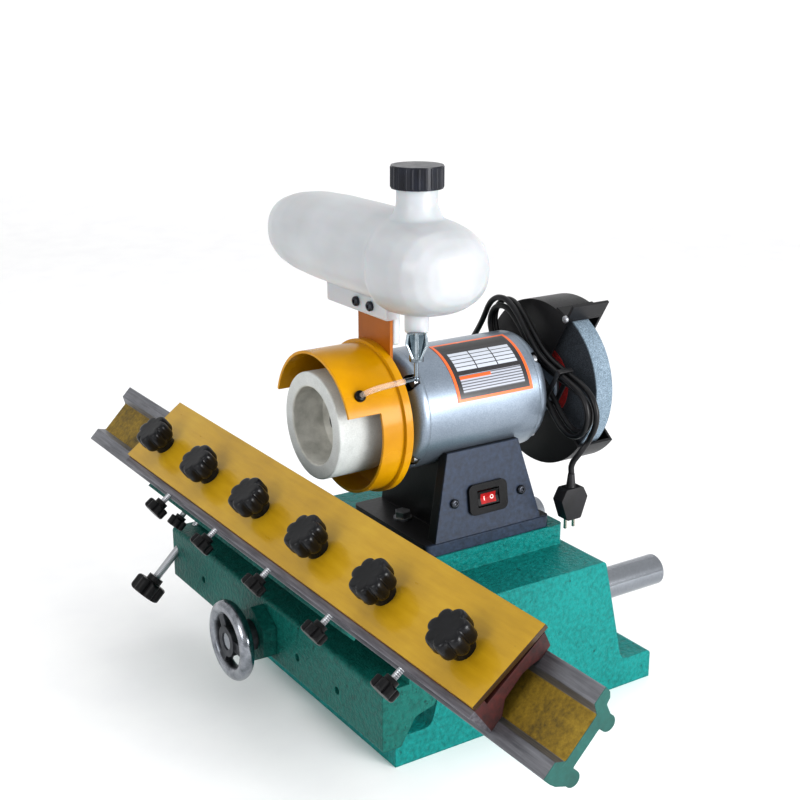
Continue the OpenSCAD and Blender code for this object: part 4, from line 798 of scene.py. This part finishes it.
bpy.ops.mesh.normals_make_consistent(inside=False)
close(tank)


def turned_stub(low, high, low_d, high_d, x, y):
    bpy.ops.object.select_all(action="DESELECT")
    bpy.ops.mesh.primitive_cone_add(vertices=48, radius1=low_d / 2, radius2=high_d / 2, depth=high - low,
                                    location=(x, y, (low + high) / 2))
    stub = bpy.context.object
    bpy.ops.object.transform_apply(location=True, rotation=True, scale=True)
    return stub


def lug_block(low, high):
    bpy.ops.object.select_all(action="DESELECT")
    bpy.ops.mesh.primitive_cube_add(size=1, location=[(a + b) / 2 for a, b in zip(low, high)],
                                    scale=[b - a for a, b in zip(low, high)])
    block = bpy.context.object
    bpy.ops.object.transform_apply(location=True, rotation=True, scale=True)
    return block


def join(piece, *parts):
    choose(piece)
    for part in parts:
        part.select_set(True)
    bpy.ops.object.join()


join(tank, turned_stub(tank_top - sunk, neck_top, neck_d, neck_d, tank_x, neck_y),
     turned_stub(tank_top - sunk, tank_top + neck_flare, neck_foot_d, neck_d, tank_x, neck_y),
     turned_stub(drain_z, drain_z + drain_length, drain_d, drain_d, tank_x, neck_y),
     lug_block(*left_lug), lug_block(*right_lug))
apply(tank, "REMESH", mode="VOXEL", voxel_size=0.0016)
apply(tank, "SMOOTH", factor=0.5, iterations=9)
smooth(tank, 60)

milky, shader, place = finish("milky_polyethylene", Roughness=0.3, Subsurface_Weight=0.35,
                              Subsurface_Scale=0.02, Coat_Weight=0.12, Coat_Roughness=0.2)
cloud = noise(place, 11, 3)
flow = noise(place, 30, 3, 0.5, (1, 0.2, 1))
shades(cloud * 0.5 + flow * 0.5, (0.34, paint(166, 169, 172)), (0.64, paint(186, 190, 194))).into(
    shader["Base Color"])
(0.28 + 0.16 * flow).into(shader["Roughness"])
relief(flow * 0.7 + noise(place, 160, 2) * 0.3, 0.1, 0.0012).into(shader["Normal"])
dress(milky, tank)
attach(tank, "frame")
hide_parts("water_tank")

lug_face, lug_screw_z = -0.1062, 0.3782
for screw, y in zip(screw_set("ear_screw", 0.0085, 2), (-0.0183, -0.0406)):
    settle(screw, (lug_face, y, lug_screw_z), (-1, 0, 0))
    dress(black_zinc, screw)
    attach(screw, "frame")


# Filler cap: a ribbed screw cap of hard black plastic with a blue cast, moulded with a flat top and
# turned down on the tank's neck
cap_plastic, shader, place = finish(
    "cap_plastic", Coat_Weight=0.12, Coat_Roughness=0.15, Specular_IOR_Level=0.3)
dust = noise(place, 90, 4)
shades(dust, (0.3, paint(7, 10, 20)), (0.75, paint(18, 23, 38))).into(shader["Base Color"])
(0.24 + 0.2 * dust).into(shader["Roughness"])
relief(noise(place, 700, 2), 0.1, 0.0003, 0.001).into(shader["Normal"])
dress(cap_plastic, "tank_cap")


# Drain valve: a chromed plug valve screwed into the tank's spout, with a fan-shaped wing on its stem,
# cast with a rim and a rib round two hollows, and a bent nozzle for the hose; the wing is painted darker
# behind its front face, in the hollows and on its sides, as painted shade
def along(place, origin, direction):
    offset = place.add("ShaderNodeVectorMath", {"operation": "SUBTRACT"}, {0: place, 1: origin})
    return place.add("ShaderNodeVectorMath", {"operation": "DOT_PRODUCT"}, {0: offset, 1: direction}, 1)


chrome, shader, place = finish("bright_chrome", Metallic=1.0)
wipe = noise(place, 85, 4)
shades(wipe, (0.3, paint(84, 92, 100)), (0.7, paint(138, 148, 156))).into(shader["Base Color"])
(0.07 + 0.14 * wipe).into(shader["Roughness"])
relief(noise(place, 300, 2), 0.05, 0.0002, 0.0006).into(shader["Normal"])
dress(chrome, "drain_valve")

wing_turn, wing_rim, hollow_edge, hollow_depth = math.radians(33), 0.0015, 0.0003, 0.0011
wing_out = Vector((-math.sin(wing_turn), -math.cos(wing_turn), 0))
wing_side = Vector((math.cos(wing_turn), -math.sin(wing_turn), 0))
wing = eased("wing_handle", "valve_wing", 0.0006, 2, 30)
wing_front = max(corner.co.dot(wing_out) for corner in wing.data.vertices)


def on_wing_front(centre, normal):
    return normal.dot(wing_out) > 0.98 and centre.dot(wing_out) > wing_front - 0.0002


edit(wing, on_wing_front)
bpy.ops.mesh.bisect(plane_co=(tank_x, neck_y, drain_z), plane_no=wing_side)
bpy.ops.mesh.select_mode(type="FACE")
pick(wing, on_wing_front)
bpy.ops.mesh.inset(thickness=wing_rim, use_individual=True)
bpy.ops.mesh.inset(thickness=hollow_edge, use_individual=True)
bpy.ops.transform.translate(value=-wing_out * hollow_depth)
close(wing)
smooth(wing, 30)

wing_chrome, shader, place = finish("wing_chrome", Metallic=1.0)
wipe = noise(place, 140, 4)
# everything behind the wing's front face, the hollows among it, gets darker chrome as painted shade
rim = rise(along(place, (0, 0, 0), wing_out), wing_front - 0.0007, wing_front - 0.0003)
hollow_shade = shades(wipe, (0.3, paint(70, 84, 92)), (0.7, paint(122, 136, 144)))
bright = shades(wipe, (0.3, paint(124, 136, 144)), (0.7, paint(176, 186, 192)))
mixed(rim, hollow_shade, bright).into(shader["Base Color"])
(0.1 + 0.16 * wipe).into(shader["Roughness"])
relief(noise(place, 300, 2), 0.05, 0.0002, 0.0004).into(shader["Normal"])
dress(wing_chrome, wing)
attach(wing, "wing")
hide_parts("valve_wing")


# Handwheel: a cast wheel with a polished and plated round rim on three spokes, whose dish and hub are
# left dull and dark; it is pinned on the feed screw's end
feed_z, spoke_r = 0.084, 0.025
wheel_plate, shader, place = finish("wheel_plate", Metallic=1.0)
wipe = noise(place, 110, 4)
rim = rise(off_axis(place, 0, feed_z), spoke_r - 0.0012, spoke_r + 0.0012)
dull = shades(wipe, (0.3, paint(48, 50, 54)), (0.7, paint(92, 94, 98)))
bright = shades(wipe, (0.3, paint(112, 116, 122)), (0.7, paint(168, 171, 177)))
mixed(rim, dull, bright).into(shader["Base Color"])
(0.42 - 0.3 * rim + 0.16 * wipe).into(shader["Roughness"])
relief(noise(place, 320, 3), 0.12, 0.0003, 0.001).into(shader["Normal"])
dress(wheel_plate, "handwheel")


# Cross-feed beam, boss and swivel: iron castings in green enamel, painted darker than the base partly
# as painted shade; socket set screws lock the guide bars, and the hexagon boss carries the feed screw
# the beam enamel's darker greens are partly a darker paint and partly painted shade for the castings' faces
# away from the light
beam_enamel = cast_enamel("beam_enamel", paint(18, 98, 90), paint(10, 72, 66), paint(4, 38, 36))
dress(beam_enamel, "cross_beam", "screw_boss", "swivel")

beam_face = -0.1885
for screw, y in zip(screw_set("set_screw", 0.0066, 3), (-0.127, -0.060, 0.127)):
    settle(screw, (beam_face, y, feed_z), (-1, 0, 0))
    dress(gloss_black, screw)
    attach(screw, "saddle")


# Tilt lock and table lock: zinc-plated screws with star knobs of black phenolic moulded on their
# ends; the long one clamps the tilt shaft through the beam, the short one the table's rib
def knob_on_screw(name, origin, direction, start, half_pitch=0.0008):
    """Black phenolic up to start along the screw, and threaded zinc beyond it."""
    knob, shader, place = finish(name, Specular_IOR_Level=0.25)
    dust = noise(place, 80, 4)
    way = along(place, origin, direction)
    bare = rise(way, start - 0.0002, start + 0.0002)
    turns = place.sums("PINGPONG", way * (1 / half_pitch), 1.0)
    black = shades(dust, (0.3, paint(5, 5, 7)), (0.75, paint(13, 13, 16)))
    mixed(bare, black, paint(178, 180, 184)).into(shader["Base Color"])
    bare.into(shader["Metallic"])
    (0.26 + 0.2 * dust).into(shader["Roughness"])
    relief(turns * bare + dust * 0.05, 0.6, 0.0004, 0.0008).into(shader["Normal"])
    return knob


lock_dir = Vector((math.sqrt(0.5), 0, math.sqrt(0.5)))
tilt_axis = Vector((-0.157, 0.190, 0.129))
tilt_lock_reach, tilt_knob_high = 0.108, 0.022
tilt_lock_screw = knob_on_screw(
    "tilt_lock_screw", tilt_axis - lock_dir * tilt_lock_reach, lock_dir, tilt_knob_high)
dress(tilt_lock_screw, "tilt_lock")

table_tilt = math.radians(46)
table_at = Vector((-0.234, 0, 0.184))
table_s = Vector((math.cos(table_tilt), 0, math.sin(table_tilt)))
table_n = Vector((-math.sin(table_tilt), 0, math.cos(table_tilt)))
table_lock_reach, table_knob_high = 0.019, 0.012
table_lock_screw = knob_on_screw(
    "table_lock_screw", table_at - table_s * table_lock_reach, table_s, table_knob_high)
dress(table_lock_screw, "table_lock")


# Knife table: a long machined iron channel; its two rails are ground bright, the channel's floor is
# left rough in thin yellow primer, and the ends and the underside are green
def end_faces(place, near, far):
    length = coordinate(place, 1)
    return rise(length, far - 0.0004, far - 0.0001) + (1 - rise(length, near + 0.0001, near + 0.0004))


table_near, table_far, under_from = -0.438, 0.308, -0.0164
channel_low, channel_high, floor_from, floor_to = 0.0129, 0.0541, -0.0080, -0.0066
table_iron, shader, place = finish("table_iron")
across = along(place, table_at, table_s)
depth = along(place, table_at, table_n)
channel = band(across, channel_low, channel_high, 0.0002) * band(depth, floor_from, floor_to, 0.0003)
under = 1 - rise(depth, under_from - 0.0004, under_from + 0.0004)
ends = end_faces(place, table_near, table_far)
milling = noise(place, 70, 4, 0.65, (6, 0.35, 6))
cloud = noise(place, 18, 4)
crust = noise(place, 240, 5, 0.7)
bright = shades(milling * 0.6 + cloud * 0.4, (0.34, paint(92, 93, 98)), (0.66, paint(140, 141, 146)))
primer = shades(crust * 0.5 + cloud * 0.5, (0.34, paint(64, 52, 10)), (0.5, paint(124, 100, 16)),
                (0.66, paint(156, 130, 34)))
green = shades(crust * 0.4 + cloud * 0.6, (0.36, paint(6, 60, 55)), (0.64, paint(14, 86, 79)))
body = mixed(channel, bright, primer)
body = mixed(under, body, green)
mixed(ends, body, green).into(shader["Base Color"])
raw = (1 - channel) * (1 - under) * (1 - ends)
(raw * 0.8).into(shader["Metallic"])
(0.6 - 0.26 * raw + 0.14 * milling).into(shader["Roughness"])
relief(crust * channel + milling * 0.25 * raw + cloud * 0.3, 0.45, 0.0009, 0.001).into(shader["Normal"])
dress(table_iron, "knife_table")


# Knife bed: a cast wedge that seats the knife under the clamp plate, in dark red primer with its front
# ledge machined bare; the studs and the adjusters are screwed into it
clamp_tilt, clamp_back, ledge_wide = math.radians(36.5), 0.003, 0.0015
clamp_at = table_at + table_s * clamp_back
clamp_p = Vector((math.cos(clamp_tilt), 0, math.sin(clamp_tilt)))
clamp_q = Vector((-math.sin(clamp_tilt), 0, math.cos(clamp_tilt)))
bed_primer, shader, place = finish("bed_primer")
crust = noise(place, 200, 4, 0.65)
cloud = noise(place, 20, 4)
milling = noise(place, 70, 4, 0.65, (6, 0.35, 6))
ledge = 1 - rise(along(place, clamp_at, clamp_p), ledge_wide, ledge_wide + 0.0007)
red = shades(crust * 0.5 + cloud * 0.5, (0.34, paint(34, 10, 10)), (0.66, paint(84, 25, 22)))
bare = shades(milling, (0.32, paint(84, 82, 88)), (0.68, paint(124, 122, 128)))
mixed(ledge, red, bare).into(shader["Base Color"])
(ledge * 0.7).into(shader["Metallic"])
(0.62 - 0.24 * ledge + 0.12 * crust).into(shader["Roughness"])
relief(crust * (1 - ledge) + milling * ledge * 0.3, 0.4, 0.0008, 0.001).into(shader["Normal"])
dress(bed_primer, "knife_bed")


# Clamp plate: a long flat steel plate in glossy mustard enamel, brushed on along it, with thin spots
# and dust; the six studs pass through it
plate_near, plate_far = -0.382, 0.175
mustard, shader, place = finish(
    "mustard_enamel", Coat_Weight=0.3, Coat_Roughness=0.08, Specular_IOR_Level=0.35)
cloud = noise(place, 13, 4)
brush = noise(place, 60, 3, 0.6, (3, 0.4, 3))
speck = rise(noise(place, 170, 4, 0.75), 0.68, 0.74)
body = shades(cloud * 0.6 + brush * 0.4, (0.34, paint(164, 128, 16)), (0.52, paint(178, 141, 22)),
              (0.68, paint(188, 152, 32)))
body = mixed(speck * 0.35, body, paint(116, 92, 26))
ends = end_faces(place, plate_near, plate_far)
mixed(ends, body, paint(58, 40, 20)).into(shader["Base Color"])
(0.22 + 0.2 * brush).into(shader["Roughness"])
relief(brush * 0.6 + noise(place, 300, 2) * 0.4, 0.1, 0.0006, 0.001).into(shader["Normal"])
dress(mustard, "clamp_plate")


# Star knobs: six knobs of black phenolic, moulded with seven lobes and a domed face over a round hub,
# turned down on the clamp's studs; five small ones are moulded on the adjusting screws
lobes, notch, foot_size = 7, 0.24, 0.8
knob_profile = ((0.06, 0.88), (0.16, 0.96), (0.28, 1), (0.68, 1), (0.83, 0.985), (0.93, 0.945),
                (0.985, 0.88), (1.0, 0.79), (0.99, 0.6), (0.985, 0.3))


def star_knob(name, across, height, hub_across, hub_height):
    """A lobed knob with its hub's end on the origin and its face along +Z."""
    bpy.ops.object.select_all(action="DESELECT")
    bpy.ops.mesh.primitive_circle_add(vertices=98, radius=1, fill_type="NGON", location=(0, 0, hub_height))
    knob = bpy.context.object
    knob.name = name
    bpy.ops.object.transform_apply(location=True, rotation=True, scale=True)
    for corner in knob.data.vertices:
        lobe = abs(math.cos(lobes / 2 * math.atan2(corner.co.y, corner.co.x)))
        reach = across / 2 * (1 - notch * (1 - lobe ** 0.75)) * foot_size
        corner.co = (corner.co.x * reach, corner.co.y * reach, corner.co.z)
    edit(knob)
    here, size = 0, foot_size
    for there, new_size in knob_profile:
        bpy.ops.mesh.extrude_region_move(
            TRANSFORM_OT_translate={"value": (0, 0, (there - here) * height)})
        middle = (0, 0, hub_height + there * height)
        bpy.ops.transform.resize(value=(new_size / size, new_size / size, 1), center_override=middle)
        here, size = there, new_size
    bpy.ops.mesh.select_all(action="SELECT")
    bpy.ops.mesh.normals_make_consistent(inside=False)
    close(knob)
    join(knob, turned_stub(0, hub_height + 0.001, hub_across, hub_across, 0, 0))
    smooth(knob, 40)
    return knob


phenolic, shader, place = finish(
    "black_phenolic", Coat_Weight=0.12, Coat_Roughness=0.05, Specular_IOR_Level=0.25)
dust = noise(place, 70, 4)
fine = noise(place, 600, 3)
shades(dust, (0.3, paint(4, 5, 8)), (0.75, paint(11, 12, 17))).into(shader["Base Color"])
(0.2 + 0.22 * dust).into(shader["Roughness"])
relief(fine, 0.1, 0.0003).into(shader["Normal"])

stud_across, knob_rise, row_middle, row_pitch = 0.030, 0.0268, -0.1035, 0.095
knob_model = star_knob("clamp_knob_1", 0.033, 0.018, 0.019, 0.007)
clamp_knobs = [knob_model] + [again(knob_model, f"clamp_knob_{i}") for i in range(2, 7)]
for index, knob in enumerate(clamp_knobs):
    seat = clamp_at + clamp_p * stud_across + clamp_q * knob_rise
    seat.y = row_middle + (index - 2.5) * row_pitch
    settle(knob, seat, clamp_q)
    dress(phenolic, knob)
    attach(knob, f"star_knob_{index + 1}")
    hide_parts(f"star_knob_{index + 1}")

adjuster_reach, adjuster_knob_high = 0.025, 0.013
adjuster_screw = knob_on_screw(
    "adjuster_screw", clamp_at - clamp_p * adjuster_reach, clamp_p, adjuster_knob_high)
dress(adjuster_screw, *[f"adjuster_{i}" for i in range(1, 6)])
